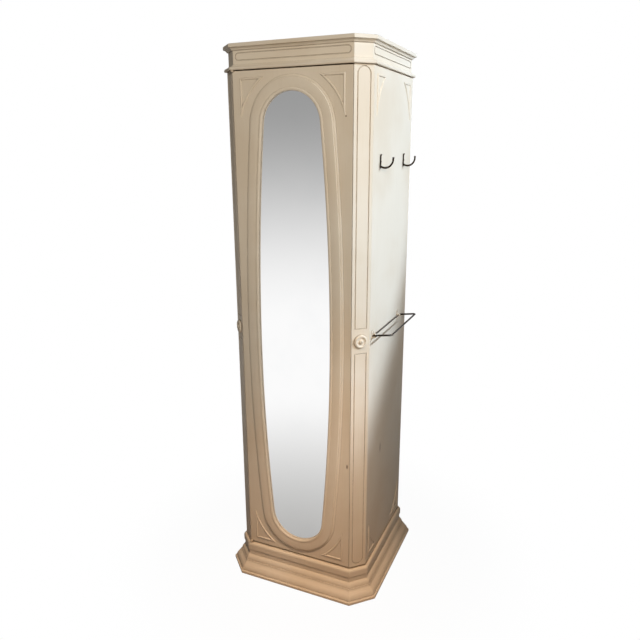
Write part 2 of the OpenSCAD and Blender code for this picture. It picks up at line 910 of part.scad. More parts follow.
module necklace_hooks() {
    color(dark_metal) peg_spots() {
        translate([0, rail_d / 2 - seat_gap, 0]) rotate([90, 0, 0])
            cylinder(r = peg_r, h = peg_len + rail_d / 2);
        translate([0, -peg_len - seat_gap, 0]) {
            sphere(peg_r);
            cylinder(r = peg_r, h = peg_rise);
            translate([0, 0, peg_rise]) sphere(peg_ball_r);
        }
    }
}

module jewel_tray() {
    low = [-tray_w / 2, divider_y - tray_d - tray_t, tray_z];
    color(inside) difference() {
        box_between(low, low + [tray_w, tray_d, tray_h]);
        for (s = [0, 1]) translate(low + [tray_t + s * (tray_w - tray_t) / 2, tray_t, tray_t])
            cube([(tray_w - 3 * tray_t) / 2, tray_d - 2 * tray_t, tray_h]);
    }
}

module bay_cheeks() {
    color(inside) for (s = [0, 1]) mirror([s, 0, 0])
        box_between([gate, divider_back, floor_top], [gate + cheek_t, flat - post_tongue, ceiling]);
}

module bay_shelves() {
    color(inside) {
        for (i = [1 : drawer_count])
            box_between([-gate, divider_back, floor_top + i * bay_step - shelf_t],
                [gate, half, floor_top + i * bay_step]);
        for (i = [1 : bay_shelf_count - 1])
            box_between([-gate, divider_back, bay_top + i * bay_shelf_step - shelf_t],
                [gate, half, bay_top + i * bay_shelf_step]);
    }
}

module frieze_outline(k) {
    reach = flat - frieze_in * mitre - capsule_margin - capsule_h / 2;
    for (s = [-1, 1]) translate([s * reach, total_h - capsule_drop]) circle(capsule_h / 2 - k);
    translate([-reach, total_h - capsule_drop - capsule_h / 2 + k]) square([2 * reach, capsule_h - 2 * k]);
}

module crown_frieze() {
    board = [[crown_inside, body_top], [crown_inside, frieze_top],
        [crown_inside - frieze_t, frieze_top], [crown_inside - frieze_t, body_top]];
    color(paint) difference() {
        mitred_ring(board, past, frieze_in + frieze_t + past);
        for (k = [0, 2, 4, 6]) on_face(k, -frieze_in - groove_d) linear_extrude(groove_d + past)
            difference() {
                frieze_outline(0);
                frieze_outline(groove_w);
            }
    }
}

function cap_outline() =
    let (low = total_h - cap_h, nose_low = total_h - nose_h, out = crown_out)
    concat(
        [[crown_inside, low], [crown_inside + ledge, low]],
        arc_between([crown_inside + 2 * ledge, low + ledge / 2],
            [out - 1.5 * ledge, nose_low], shallow),
        arc_between([out - ledge, nose_low], [out, nose_low + ledge], -ledge / 4),
        arc_between([out, total_h - 1.5 * ledge], [out - 1.5 * ledge, total_h], -ledge / 3),
        [[crown_inside, total_h]]
    );

function skirt_outline() =
    let (top = body_top + skirt_h, bead_top = body_top + skirt_bead_h, out = crown_out)
    concat(
        [[crown_inside, body_top], [out - ledge, body_top]],
        arc_between([out - ledge, body_top], [out - 2 * ledge, bead_top], -ledge),
        arc_between([out - 3 * ledge, bead_top],
            [crown_inside + ledge, top - ledge / 2], shallow),
        [[crown_inside + ledge / 2, top], [crown_inside, top]]
    );

module crown_cap_moulding() {
    color(paint) mitred_ring(cap_outline(), crown_out + past, frieze_in + past);
}

module crown_skirt_moulding() {
    color(paint) mitred_ring(skirt_outline(), crown_out + past, frieze_in + past);
}

module crown_lid() {
    color(shade) column_slab(crown_inside - seat_gap, frieze_top, frieze_top + lid_t);
}

// Outline of the oval moulding: distance out from the visible edge, and height off the door
function ring_outline() =
    let (
        quirk = ring_bead_w + ring_quirk,
        step_in = ring_w - ring_step_w,
        edge = ring_quirk / 2
    )
    concat(
        [[0, 0]],
        arc_between([edge, ring_lip_h], [ring_bead_w, ring_lip_h + 2 * edge], ring_bead_rise),
        [[quirk, ring_lip_h]],
        arc_between([quirk + edge, ring_lip_h + edge], [step_in - edge, ring_lip_h + edge], ring_swell),
        [[step_in + edge, ring_step_h]],
        arc_between([step_in + ring_quirk, ring_step_h], [ring_w, ring_step_low], ring_round),
        [[ring_w, 0]]
    );

module at_mirror(out = 0) {
    on_face(0, out) translate([0, mirror_z, 0]) children();
}

module door_panel() {
    color(paint) difference() {
        box_between([-door_half, door_front, door_low], [door_half, door_back, door_top]);
        at_mirror(-door_t - past) linear_extrude(door_t + 2 * past) oval_plan(glass_lap + glass_gap);
        door_leaf_cut(door_top - leaf_t - seat_gap, leaf_t + seat_gap + past);
        door_leaf_cut(door_low - past, leaf_t + seat_gap + past);
        clip_spots() translate([0, 0, -screw_len]) cylinder(r = screw_r, h = screw_len + past);
    }
}

module oval_moulding() {
    color(paint) at_mirror() oval_sweep() polygon(ring_outline());
}

module mirror_glass() {
    color([0.75, 0.78, 0.80]) at_mirror(-glass_set - glass_t) linear_extrude(glass_t) oval_plan(glass_lap);
}

module mirror_backer() {
    color("saddlebrown") at_mirror(-glass_set - glass_t - backer_t)
        linear_extrude(backer_t) oval_plan(glass_lap - glass_gap);
}

// Places of the clip screws on the door's back: +Z goes out of it, and +Y towards the mirror's middle
module clip_spots() {
    clip_step = 2 * end_at / (clip_count - 1);
    for (s = [-1, 1], i = [0 : clip_count - 1])
        translate([s * (sight_half_w + ring_w / 2), door_back, mirror_z - end_at + i * clip_step])
            rotate([-90, 0, 0]) rotate([0, 0, s * 90]) children();
}

module backer_clips() {
    color(steel) clip_spots() {
        difference() {
            translate([0, -clip_w / 2, 0]) linear_extrude(clip_t) round_ended(clip_w, clip_len);
            translate([0, 0, -past]) cylinder(r = screw_r, h = clip_t + 2 * past);
        }
        small_screw(clip_t);
    }
}

// A strip from the eye back to y_back, kept off the post beside the door
module hinge_strip(y_back, k) {
    left = door_side_gap - flat - k;
    translate([left, hinge_y]) square([hinge_x + eye_r + k - left, y_back - hinge_y]);
}

// A door leaf, let into the end of the door, with its eye round the pin
module door_leaf_plan(k) {
    translate([hinge_x - k, leaf_y - leaf_w / 2 - k]) square([leaf_len + 2 * k, leaf_w + 2 * k]);
    hinge_strip(leaf_y, k);
    translate([hinge_x, hinge_y]) circle(eye_r + k);
}

module door_leaf_cut(low, height) {
    translate([0, 0, low]) linear_extrude(height) door_leaf_plan(seat_gap);
}

module door_leaf(low) {
    translate([0, 0, low]) linear_extrude(leaf_t) difference() {
        door_leaf_plan(0);
        translate([hinge_x, hinge_y]) circle(pin_r + fit_gap);
    }
}

module hinge_door_leaves() {
    color(paint) {
        door_leaf(door_low);
        door_leaf(door_top - leaf_t);
    }
}

// The lower leaf runs back under the post, and the upper one lies under the crown
module hinge_fixed_leaves() {
    lower = body_low - leaf_t;
    upper = body_top - leaf_t;
    color(paint) {
        translate([0, 0, lower]) linear_extrude(leaf_t) {
            hinge_strip(leaf_len - flat, 0);
            translate([hinge_x, hinge_y]) circle(eye_r);
        }
        translate([hinge_x, hinge_y, lower]) cylinder(r = pin_r, h = door_low + leaf_t - lower);
        translate([hinge_x, hinge_y, body_low]) cylinder(r = eye_r - past, h = door_low_gap - collar_gap);
        translate([0, 0, upper]) linear_extrude(leaf_t) {
            hinge_strip(door_back, 0);
            translate([hinge_x, hinge_y]) circle(eye_r);
        }
        translate([hinge_x, hinge_y, door_top - leaf_t])
            cylinder(r = pin_r, h = upper - door_top + 2 * leaf_t);
    }
}

// The catch sits on the inner face of the right front post
module magnetic_catch() {
    y = door_back + strike_t + catch_gap;
    color("white") box_between([gate - catch_w, y, catch_z - catch_h / 2],
        [gate, y + catch_d, catch_z + catch_h / 2]);
}

module catch_plate() {
    color(steel) box_between([gate - catch_w, door_back, catch_z - catch_h / 2],
        [gate, door_back + strike_t, catch_z + catch_h / 2]);
}

module hook_spots() {
    for (s = [-1, 1]) on_face(2) translate([hook_mid + s * hook_y, hook_z, 0]) children();
}

module hook_screw_holes() {
    for (z = [hook_screw_low, hook_plate_h - hook_plate_w / 2]) translate([0, z, 0]) children();
}

module hook_screw_spots() {
    hook_spots() hook_screw_holes() children();
}

// A plate with a bent rod: the rod leaves the plate low down, dips and rises to a round tip
module robe_hook() {
    bend_mid = hook_rod_r + hook_bend + seat_gap;
    difference() {
        union() {
            linear_extrude(hook_plate_t) round_ended(hook_plate_w, hook_plate_h);
            intersection() {
                translate([0, bend_mid, hook_bend_out]) rotate([0, 90, 0]) rotate([0, 0, 180])
                    rotate_extrude(angle = 180) translate([hook_bend, 0]) circle(hook_rod_r);
                translate([-hook_rod_r - past, 0, 0])
                    cube([2 * (hook_rod_r + past), bend_mid, hook_bend_out + 2 * hook_bend]);
            }
        }
        hook_screw_holes() translate([0, 0, -past]) cylinder(r = screw_r, h = hook_plate_t + 2 * past);
    }
    translate([0, bend_mid, hook_bend_out + hook_bend]) rotate([-90, 0, 0]) {
        cylinder(r = hook_rod_r, h = hook_tip);
        translate([0, 0, hook_tip]) sphere(hook_ball_r);
    }
}

module robe_hooks() {
    color(dark_metal) hook_spots() robe_hook();
}

module small_screw(plate) {
    translate([0, 0, -screw_len + seat_gap]) cylinder(r = screw_r - seat_gap, h = screw_len + plate);
    translate([0, 0, plate]) cylinder(r = screw_head_r, h = screw_head_h);
}

module hook_screws() {
    color(dark_metal) hook_screw_spots() small_screw(hook_plate_t);
}

module bracket_spots() {
    for (s = [0, 1]) on_face(2) translate([valet_mid, valet_z, 0]) mirror([s, 0, 0])
        translate([bracket_at, 0, 0]) children();
}

module bracket_screw_holes() {
    for (s = [-1, 1]) translate([0, s * (bracket_h / 2 - screw_head_r - past), 0]) children();
}

module bracket_screw_spots() {
    bracket_spots() bracket_screw_holes() children();
}

// A plate with a bearing for the thin rod, and a tongue on which the arm rests
module valet_bracket() {
    arm_at = valet_w / 2 - bracket_at;
    eye = valet_pin_r + bracket_wall;
    plate_in = -screw_head_r - past;
    difference() {
        union() {
            translate([plate_in, -bracket_h / 2, 0]) cube([bracket_w, bracket_h, bracket_t]);
            translate([-bracket_eye_len / 2, -eye, 0]) cube([bracket_eye_len, 2 * eye, valet_out]);
            at_valet_hinge() rotate([0, 90, 0]) cylinder(r = eye, h = bracket_eye_len, center = true);
            at_valet_hinge() rotate([-valet_tilt, 0, 0])
                translate([arm_at - valet_rod_r, -2 * valet_rod_r - stop_gap, bracket_t / 2 - valet_out])
                cube([2 * valet_rod_r, valet_rod_r, 2 * valet_out]);
        }
        at_valet_hinge() rotate([0, 90, 0])
            cylinder(r = valet_pin_r + fit_gap, h = bracket_eye_len + 2 * past, center = true);
        bracket_screw_holes() translate([0, 0, -past]) cylinder(r = screw_r, h = bracket_t + 2 * past);
    }
}

module at_valet_hinge() {
    translate([0, 0, valet_out]) children();
}

module valet_brackets() {
    color(paint) bracket_spots() valet_bracket();
}

module bracket_screws() {
    color(paint) bracket_screw_spots() small_screw(bracket_t);
}

// A closed loop of rod: thin where it turns, thicker in the arms and the front
module valet_bar() {
    w = valet_w / 2;
    straight = valet_len - valet_bend;
    color(dark_metal) on_face(2) translate([valet_mid, valet_z, valet_out]) rotate([-valet_tilt, 0, 0]) {
        rotate([0, 90, 0]) cylinder(r = valet_pin_r, h = valet_w, center = true);
        translate([0, 0, valet_len]) rotate([0, 90, 0])
            cylinder(r = valet_rod_r, h = valet_w - 2 * valet_bend, center = true);
        for (s = [-1, 1]) {
            translate([s * w, 0, 0]) {
                sphere(valet_rod_r);
                cylinder(r = valet_rod_r, h = straight);
            }
            translate([s * (w - valet_bend), 0, straight]) rotate([90, 0, 90 - s * 90])
                rotate_extrude(angle = 90) translate([valet_bend, 0]) circle(valet_rod_r);
        }
    }
}

module drawer_front(i) {
    low = floor_top + (i - 1) * bay_step + drawer_gap;
    high = low + drawer_open_h - 2 * drawer_gap;
    w = gate - drawer_gap;
    mid = (low + high) / 2;
    color(paint) difference() {
        box_between([-w, drawer_box_front, low], [w, half, high]);
        on_face(4, -groove_d) translate([0, mid, 0]) linear_extrude(groove_d + past) difference() {
            drawer_outline(groove_margin);
            drawer_outline(groove_margin + groove_w);
        }
        on_face(4, -spigot_len) translate([0, mid, 0]) cylinder(r = spigot_r, h = spigot_len + past);
    }
}

// Routed outline on a drawer front, k inside its edge
module drawer_outline(k) {
    w = gate - drawer_gap - k;
    h = drawer_open_h / 2 - drawer_gap - k;
    translate([-w, -h]) square([2 * w, 2 * h]);
}

module drawer_box(i) {
    low = floor_top + (i - 1) * bay_step + drawer_seat_gap;
    high = low + drawer_side_h;
    t = drawer_side_t;
    color(inside) difference() {
        box_between([-drawer_box_half, drawer_box_back, low], [drawer_box_half, drawer_box_front, high]);
        box_between([-drawer_box_half + t, drawer_box_back + t, low + drawer_floor_t],
            [drawer_box_half - t, drawer_box_front - t, high + past]);
    }
}

module drawer_knob(i) {
    mid = floor_top + (i - 1) * bay_step + drawer_open_h / 2;
    neck = knob_r / 2;
    color(paint) on_face(4) translate([0, mid, 0]) {
        glued_spigot();
        rotate_extrude() polygon(concat(
            [[0, 0], [neck + ledge, 0]],
            arc_between([neck + ledge, ledge], [knob_r - ledge, knob_len / 2], shallow),
            arc_between([knob_r - ledge, knob_len / 2], [neck, knob_len - ledge / 2], -neck / 2),
            [[0, knob_len]]
        ));
    }
}

plinth_mouldings();
plinth_deck();
plinth_cross_rails();
floor_glides();
turntable_lower_plate();
lower_plate_screws();
ball_cage();
bearing_balls();
turntable_upper_plate();
bearing_spacer();
upper_plate_screws();
floor_board();
top_board();
front_left_post();
front_right_post();
rear_left_post();
rear_right_post();
post_rosettes();
left_side_panel();
right_side_panel();
left_panel_beads();
right_panel_beads();
divider_panel();
front_shelves();
necklace_rail();
necklace_hooks();
jewel_tray();
bay_cheeks();
bay_shelves();
crown_frieze();
crown_cap_moulding();
crown_skirt_moulding();
crown_lid();
robe_hooks();
hook_screws();
valet_brackets();
bracket_screws();
hinge_fixed_leaves();
magnetic_catch();
door_panel();
oval_moulding();
mirror_glass();
mirror_backer();
backer_clips();
door_beads();
hinge_door_leaves();
catch_plate();
valet_bar();
drawer_front(1);  // drawer_front_1
drawer_box(1);  // drawer_box_1
drawer_knob(1);  // drawer_knob_1
drawer_front(2);  // drawer_front_2
drawer_box(2);  // drawer_box_2
drawer_knob(2);  // drawer_knob_2
drawer_front(3);  // drawer_front_3
drawer_box(3);  // drawer_box_3
drawer_knob(3);  // drawer_knob_3
drawer_front(4);  // drawer_front_4
drawer_box(4);  // drawer_box_4
drawer_knob(4);  // drawer_knob_4
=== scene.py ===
import math

import bmesh
import bpy
from mathutils import Matrix, Vector


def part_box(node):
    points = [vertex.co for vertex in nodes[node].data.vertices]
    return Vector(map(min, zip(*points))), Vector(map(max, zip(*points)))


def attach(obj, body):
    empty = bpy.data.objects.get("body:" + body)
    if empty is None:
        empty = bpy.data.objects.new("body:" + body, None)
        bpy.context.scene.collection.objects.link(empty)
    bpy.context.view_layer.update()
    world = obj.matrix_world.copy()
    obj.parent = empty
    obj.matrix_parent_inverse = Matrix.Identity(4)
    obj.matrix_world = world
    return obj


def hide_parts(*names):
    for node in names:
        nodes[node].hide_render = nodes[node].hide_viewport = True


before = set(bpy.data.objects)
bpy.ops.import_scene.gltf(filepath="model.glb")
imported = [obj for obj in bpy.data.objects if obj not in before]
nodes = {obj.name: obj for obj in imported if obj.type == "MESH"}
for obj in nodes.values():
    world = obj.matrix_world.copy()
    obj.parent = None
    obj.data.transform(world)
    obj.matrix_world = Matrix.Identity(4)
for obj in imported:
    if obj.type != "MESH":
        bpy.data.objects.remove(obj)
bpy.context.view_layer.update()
mm = 0.001

# The column's own measures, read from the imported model
panelLow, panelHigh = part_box("right_side_panel")
halfWidth = panelHigh.x
flatHalf = panelHigh.y
bodyLow, bodyTop = panelLow.z, panelHigh.z
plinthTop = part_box("plinth_mouldings")[1].z
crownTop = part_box("crown_cap_moulding")[1].z
slantAt = (halfWidth + flatHalf) / math.sqrt(2)
print("frame loaded")

# The camera stands where the photographer stood, found from the armoire's own edges
cameraSetup = {
    "at": (0.8265, -1.8985, 1.5116),
    "turn": 0.418,
    "tilt": -0.2772,
    "roll": -0.0043,
    "lens": 34.14,
    "sensor": 36,
}


def makeCamera(setup):
    data = bpy.data.cameras.new("camera")
    data.lens = setup["lens"]
    data.sensor_width = setup["sensor"]
    camera = bpy.data.objects.new("camera", data)
    facing = Matrix.Rotation(setup["turn"], 4, "Z")
    facing = facing @ Matrix.Rotation(math.pi / 2 + setup["tilt"], 4, "X")
    facing = facing @ Matrix.Rotation(setup["roll"], 4, "Z")
    camera.matrix_world = Matrix.Translation(setup["at"]) @ facing
    bpy.context.scene.collection.objects.link(camera)
    bpy.context.scene.camera = camera


makeCamera(cameraSetup)
print("camera placed")


# Shader helpers: a Wire is a socket that can be used in sums
def tone(red, green, blue):
    return tuple(((c / 255 + 0.055) / 1.055) ** 2.4 for c in (red, green, blue)) + (1,)


def findSocket(sockets, key):
    if isinstance(key, int):
        return sockets[key]
    for socket in sockets:
        if key in (socket.identifier, socket.name):
            return socket
    raise KeyError(key)


def setStops(ramp, stops):
    while len(ramp.elements) < len(stops):
        ramp.elements.new(1)
    for element, (place, colour) in zip(ramp.elements, stops):
        element.position = place
        element.color = colour


class Wire:
    def __init__(self, tree, socket):
        self.tree = tree
        self.socket = socket

    def feed(self, target, value):
        if isinstance(value, Wire):
            self.tree.links.new(value.socket, target)
        elif hasattr(target.default_value, "__len__") and not hasattr(value, "__len__"):
            target.default_value = [value] * len(target.default_value)
        else:
            target.default_value = value

    def make(self, kind, settings, inputs, output=0):
        added = self.tree.nodes.new(kind)
        for key, value in settings.items():
            if key == "stops":
                setStops(added.color_ramp, value)
            else:
                setattr(added, key, value)
        for key, value in inputs.items():
            self.feed(findSocket(added.inputs, key), value)
        return None if output is None else Wire(self.tree, findSocket(added.outputs, output))

    def join(self, operation, left, right):
        wide = any(hasattr(x, "__len__") or isinstance(x, Wire) and x.socket.type != "VALUE"
            for x in (left, right))
        kind = "ShaderNodeVectorMath" if wide else "ShaderNodeMath"
        return self.make(kind, {"operation": operation}, {0: left, 1: right})

    def __add__(self, other):
        return self.join("ADD", self, other)

    def __radd__(self, other):
        return self.join("ADD", other, self)

    def __sub__(self, other):
        return self.join("SUBTRACT", self, other)

    def __rsub__(self, other):
        return self.join("SUBTRACT", other, self)

    def __mul__(self, other):
        return self.join("MULTIPLY", self, other)

    def __rmul__(self, other):
        return self.join("MULTIPLY", other, self)

    def fade(self, low, high):
        spread = {"From Min": low, "From Max": high, "Value": self}
        return self.make("ShaderNodeMapRange", {"interpolation_type": "SMOOTHSTEP"}, spread)

    def tint(self, first, second):
        pair = {"Factor_Float": self, "A_Color": first, "B_Color": second}
        return self.make("ShaderNodeMix", {"data_type": "RGBA"}, pair, "Result_Color")

    def noise(self, scale, detail=2, stretch=None):
        at = self if stretch is None else self * stretch
        return self.make("ShaderNodeTexNoise", {}, {"Vector": at, "Scale": scale, "Detail": detail}, "Fac")

    def bump(self, height, distance):
        given = {"Height": height, "Distance": distance, "Strength": 1}
        return self.make("ShaderNodeBump", {}, given, "Normal")

    def length(self):
        return self.make("ShaderNodeVectorMath", {"operation": "LENGTH"}, {0: self}, "Value")

    def nearby(self, distance, inside=False):
        given = {"inside": inside, "only_local": inside, "samples": 8}
        return self.make("ShaderNodeAmbientOcclusion", given, {"Distance": distance}, "AO")


def startFinish(name):
    material = bpy.data.materials.new(name)
    material.use_nodes = True
    tree = material.node_tree
    tree.nodes.clear()
    place = tree.nodes.new("ShaderNodeTexCoord")
    return material, Wire(tree, place.outputs["Object"])


def endFinish(material, here, shaderInputs):
    surface = here.make("ShaderNodeBsdfPrincipled", {}, shaderInputs, "BSDF")
    here.make("ShaderNodeOutputMaterial", {}, {"Surface": surface}, None)
    return material


# Finishes. Lengths in them are metres, and "strokes" says how fine the brush marks are along x, y and z
outerPaint = {
    "cream": tone(236, 225, 205),
    "warm": tone(228, 213, 189),
    "streak": tone(212, 193, 163),
    # dark brown for the painted shade in hollows and gaps, and for the paint marks
    "shadeAndMarkTone": tone(112, 84, 56),
    # pale cream for the painted highlight on convex edges, which also stands for worn paint
    "wornAndLitTone": tone(246, 238, 222),
    "cloudScale": 3.5,
    "cloudFade": (0.35, 0.7),
    "streakFade": (0.5, 0.8),
    "streakDepth": 0.18,
    "shadeReach": 0.0045,
    "shadeFrom": (0.1, 0.6),
    "shadeDepth": 0.8,
    "shadeEven": 0.7,
    "gapFade": (0.75, 0.98),
    "gapShadeSpared": 0.85,
    "patchScale": 60,
    "patchFade": (0.3, 0.75),
    "edgeReach": 0.0022,
    "edgeFade": (0.25, 0.75),
    "edgeDepth": 0.5,
    "markFade": (0.3, 1),
    "markDepth": 0.8,
    "shine": 0.2,
    "roughness": (0.42, 0.58),
    "roughScale": 25,
    "bump": 0.00006,
}
innerPaint = dict(outerPaint, cream=tone(226, 214, 193), warm=tone(218, 203, 178), shadeDepth=0.25,
    streakDepth=0.12, roughness=(0.55, 0.68))
# The plinth's painted shade reaches further and is not eased in the gap, so it paints the shadow under the
# column
plinthPaint = dict(outerPaint, shadeReach=0.008, shadeFrom=(0.06, 0.5), shadeDepth=0.95, gapShadeSpared=0)
upright, level = (330, 330, 9), (9, 9, 420)

# Small marks in the paint: their middles, and how far they reach along x, y and z
paintMarks = [
    ((0.2375, -0.0605, 0.503), (0.02, 0.005, 0.026)),
    ((0.1832, -0.2375, 0.5047), (0.004, 0.02, 0.011)),
    ((0.1708, -0.2375, 1.5953), (0.0035, 0.02, 0.0035)),
]


def paintFinish(name, look, strokes):
    material, here = startFinish(name)
    clouds = here.noise(look["cloudScale"], 4).fade(*look["cloudFade"])
    brush = here.noise(1, 5, strokes)
    streaks = brush.fade(*look["streakFade"]) * look["streakDepth"]
    # Painted shade: darker brown in hollows, quirks and narrow gaps that the AO node finds close, eased in
    # the deepest gaps; it also stands for the antique glaze there
    covered = 1 - here.nearby(look["shadeReach"])
    hollow = covered.fade(*look["shadeFrom"]) * look["shadeDepth"]
    hollow = hollow * (1 - covered.fade(*look["gapFade"]) * look["gapShadeSpared"])
    patchy = here.noise(look["patchScale"], 3).fade(*look["patchFade"])
    # Painted highlight: paler on convex edges, in patches, which also stands for worn paint there
    wornAndLitEdge = (1 - here.nearby(look["edgeReach"], True)).fade(*look["edgeFade"])
    edge = wornAndLitEdge * patchy * look["edgeDepth"]
    even = look["shadeEven"]
    colour = clouds.tint(look["cream"], look["warm"])
    colour = streaks.tint(colour, look["streak"])
    colour = edge.tint(colour, look["wornAndLitTone"])
    colour = (hollow * (even + (1 - even) * patchy)).tint(colour, look["shadeAndMarkTone"])
    for middle, reach in paintMarks:
        away = (here - middle) * tuple(1 / r for r in reach)
        near = 1 - away.length().fade(*look["markFade"])
        colour = (near * look["markDepth"]).tint(colour, look["shadeAndMarkTone"])
    low, high = look["roughness"]
    return endFinish(material, here, {
        "Base Color": colour,
        "Roughness": low + (high - low) * here.noise(look["roughScale"], 3),
        "Specular IOR Level": look["shine"],
        "Normal": here.bump(brush, look["bump"]),
    })


bronzeLook = {
    "dark": tone(60, 48, 38),
    # pale bronze for the painted highlight on the edges, which also stands for rubbed metal
    "wornAndLitEdge": tone(170, 148, 120),
    "edgeReach": 0.0016,
    "edgeFade": (0.3, 0.9),
    "edgeDepth": 0.8,
    "patchScale": 130,
    "patchFade": (0.35, 0.7),
    "grainScale": 420,
    "metallic": 0.85,
    "roughness": (0.16, 0.28),
    "bump": 0.00003,
}


def bronzeFinish(name, look):
    material, here = startFinish(name)
    grain = here.noise(look["grainScale"], 4)
    patchy = here.noise(look["patchScale"], 3).fade(*look["patchFade"])
    # Painted highlight on the edges, in patches, which also stands for rubbed bronze
    wornAndLitEdge = (1 - here.nearby(look["edgeReach"], True)).fade(*look["edgeFade"]) * patchy
    low, high = look["roughness"]
    return endFinish(material, here, {
        "Base Color": (wornAndLitEdge * look["edgeDepth"]).tint(look["dark"], look["wornAndLitEdge"]),
        "Metallic": look["metallic"],
        "Roughness": low + (high - low) * grain,
        "Normal": here.bump(grain, look["bump"]),
    })


metalLook = {
    "grainScale": 240,
    "stainScale": 18,
    "stainFade": (0.4, 0.75),
    "stainDepth": 0.5,
    "bump": 0.00001,
}


def metalFinish(name, pale, dull, roughness, metallic=1):
    material, here = startFinish(name)
    grain = here.noise(metalLook["grainScale"], 4)
    stain = here.noise(metalLook["stainScale"], 3).fade(*metalLook["stainFade"])
    low, high = roughness
    return endFinish(material, here, {
        "Base Color": (stain * metalLook["stainDepth"]).tint(pale, dull),
        "Metallic": metallic,
        "Roughness": low + (high - low) * grain,
        "Normal": here.bump(grain, metalLook["bump"]),
    })


mirrorLook = {
    "silver": tone(251, 251, 251),
    "smudged": tone(244, 245, 246),
    "smudgeScale": 7,
    "smudgeFade": (0.45, 0.8),
    "smudgeDepth": 0.4,
    "roughness": (0.012, 0.032),
}


def mirrorFinish(name, look):
    material, here = startFinish(name)
    smudge = here.noise(look["smudgeScale"], 4).fade(*look["smudgeFade"])
    low, high = look["roughness"]
    return endFinish(material, here, {
        "Base Color": (smudge * look["smudgeDepth"]).tint(look["silver"], look["smudged"]),
        "Metallic": 1,
        "Roughness": low + (high - low) * smudge,
    })


plasticLook = {
    "grainScale": 900,
    "mottleScale": 30,
    "mottleFade": (0.3, 0.7),
    "roughSpread": 0.1,
    "bump": 0.00002,
}


def plasticFinish(name, colour, mottle, roughness):
    material, here = startFinish(name)
    grain = here.noise(plasticLook["grainScale"], 2)
    blotches = here.noise(plasticLook["mottleScale"], 2).fade(*plasticLook["mottleFade"])
    return endFinish(material, here, {
        "Base Color": blotches.tint(colour, mottle),
        "Roughness": roughness + plasticLook["roughSpread"] * grain,
        "Normal": here.bump(grain, plasticLook["bump"]),
    })


boardLook = {
    "board": tone(141, 108, 74),
    "fibre": tone(112, 82, 54),
    "fleckScale": (260, 260, 90),
    "fleckFade": (0.35, 0.7),
    "roughness": (0.72, 0.87),
    "bump": 0.0001,
}


def boardFinish(name, look):
    material, here = startFinish(name)
    flecks = here.noise(1, 5, look["fleckScale"])
    low, high = look["roughness"]
    return endFinish(material, here, {
        "Base Color": flecks.fade(*look["fleckFade"]).tint(look["board"], look["fibre"]),
        "Roughness": low + (high - low) * flecks,
        "Normal": here.bump(flecks, look["bump"]),
    })


velvetLook = {
    "ground": tone(92, 74, 62),
    "nap": tone(122, 100, 84),
    "pileScale": 1600,
    "pileDepth": 0.3,
    "patchScale": 40,
    "patchFade": (0.35, 0.7),
    "patchDepth": 0.6,
    "roughness": 0.9,
    "sheen": 0.6,
    "sheenRoughness": 0.4,
    "bump": 0.0003,
}


def velvetFinish(name, look):
    material, here = startFinish(name)
    pile = here.noise(look["pileScale"], 2)
    patches = here.noise(look["patchScale"], 3).fade(*look["patchFade"])
    brushed = patches * look["patchDepth"] + look["pileDepth"] * pile
    return endFinish(material, here, {
        "Base Color": brushed.tint(look["ground"], look["nap"]),
        "Roughness": look["roughness"],
        "Sheen Weight": look["sheen"],
        "Sheen Roughness": look["sheenRoughness"],
        "Normal": here.bump(pile, look["bump"]),
    })


creamUpright = paintFinish("creamPaintUpright", outerPaint, upright)
creamLevel = paintFinish("creamPaintLevel", outerPaint, level)
creamPlinth = paintFinish("creamPaintPlinth", plinthPaint, level)
innerUpright = paintFinish("innerPaintUpright", innerPaint, upright)
innerLevel = paintFinish("innerPaintLevel", innerPaint, level)
bronze = bronzeFinish("darkBronze", bronzeLook)
zinc = metalFinish("zincSteel", tone(205, 207, 211), tone(176, 179, 184), (0.25, 0.42))
ballSteel = metalFinish("ballSteel", tone(226, 228, 231), tone(212, 214, 218), (0.06, 0.14))
hingePaint = metalFinish("hingePaint", tone(222, 207, 183), tone(208, 190, 163), (0.4, 0.55), 0.1)
mirror = mirrorFinish("mirrorSilver", mirrorLook)
nylon = plasticFinish("cageNylon", tone(240, 238, 232), tone(232, 229, 220), 0.4)
blackPlastic = plasticFinish("glidePlastic", tone(38, 38, 38), tone(30, 30, 31), 0.45)
hardboard = boardFinish("backingBoard", boardLook)
velvet = velvetFinish("trayVelvet", velvetLook)
print("finishes made")


# Mesh helpers. Outlines are lists of (outward, upward) pairs in millimetres
tiny = 1e-6  # points closer than this are one point


def arcBetween(start, end, sag, steps=12):
    a, b = Vector(start), Vector(end)
    chord = (b - a).length
    radius = (chord * chord / 4 + sag * sag) / (2 * abs(sag))
    turn = 2 * math.asin(min(1, chord / (2 * radius)))
    side = 1 if sag > 0 else -1
    ahead = (b - a) / chord
    left = Vector((-ahead.y, ahead.x))
    centre = (a + b) / 2 - side * (radius - abs(sag)) * left
    first = math.atan2(a.y - centre.y, a.x - centre.x)
    angles = [first - side * turn * i / steps for i in range(steps + 1)]
    return [(centre.x + radius * math.cos(t), centre.y + radius * math.sin(t)) for t in angles]


def softened(outline, radius, closed=True, steps=3, sharp=math.radians(25)):
    points = [Vector(p) for p in outline]
    found = []
    for i, here in enumerate(points):
        before, after = points[i - 1], points[(i + 1) % len(points)]
        into, away = here - before, after - here
        ends = not closed and i in (0, len(points) - 1)
        if ends or into.length < tiny or away.length < tiny or into.angle(away) < sharp:
            found.append(here)
            continue
        cut = min(radius, 0.45 * into.length, 0.45 * away.length)  # two cuts fit on a short side
        low, high = here - into.normalized() * cut, here + away.normalized() * cut
        for s in range(steps + 1):
            t = s / steps
            found.append(low * (1 - t) ** 2 + here * 2 * t * (1 - t) + high * t * t)
    return [tuple(p) for p in found]


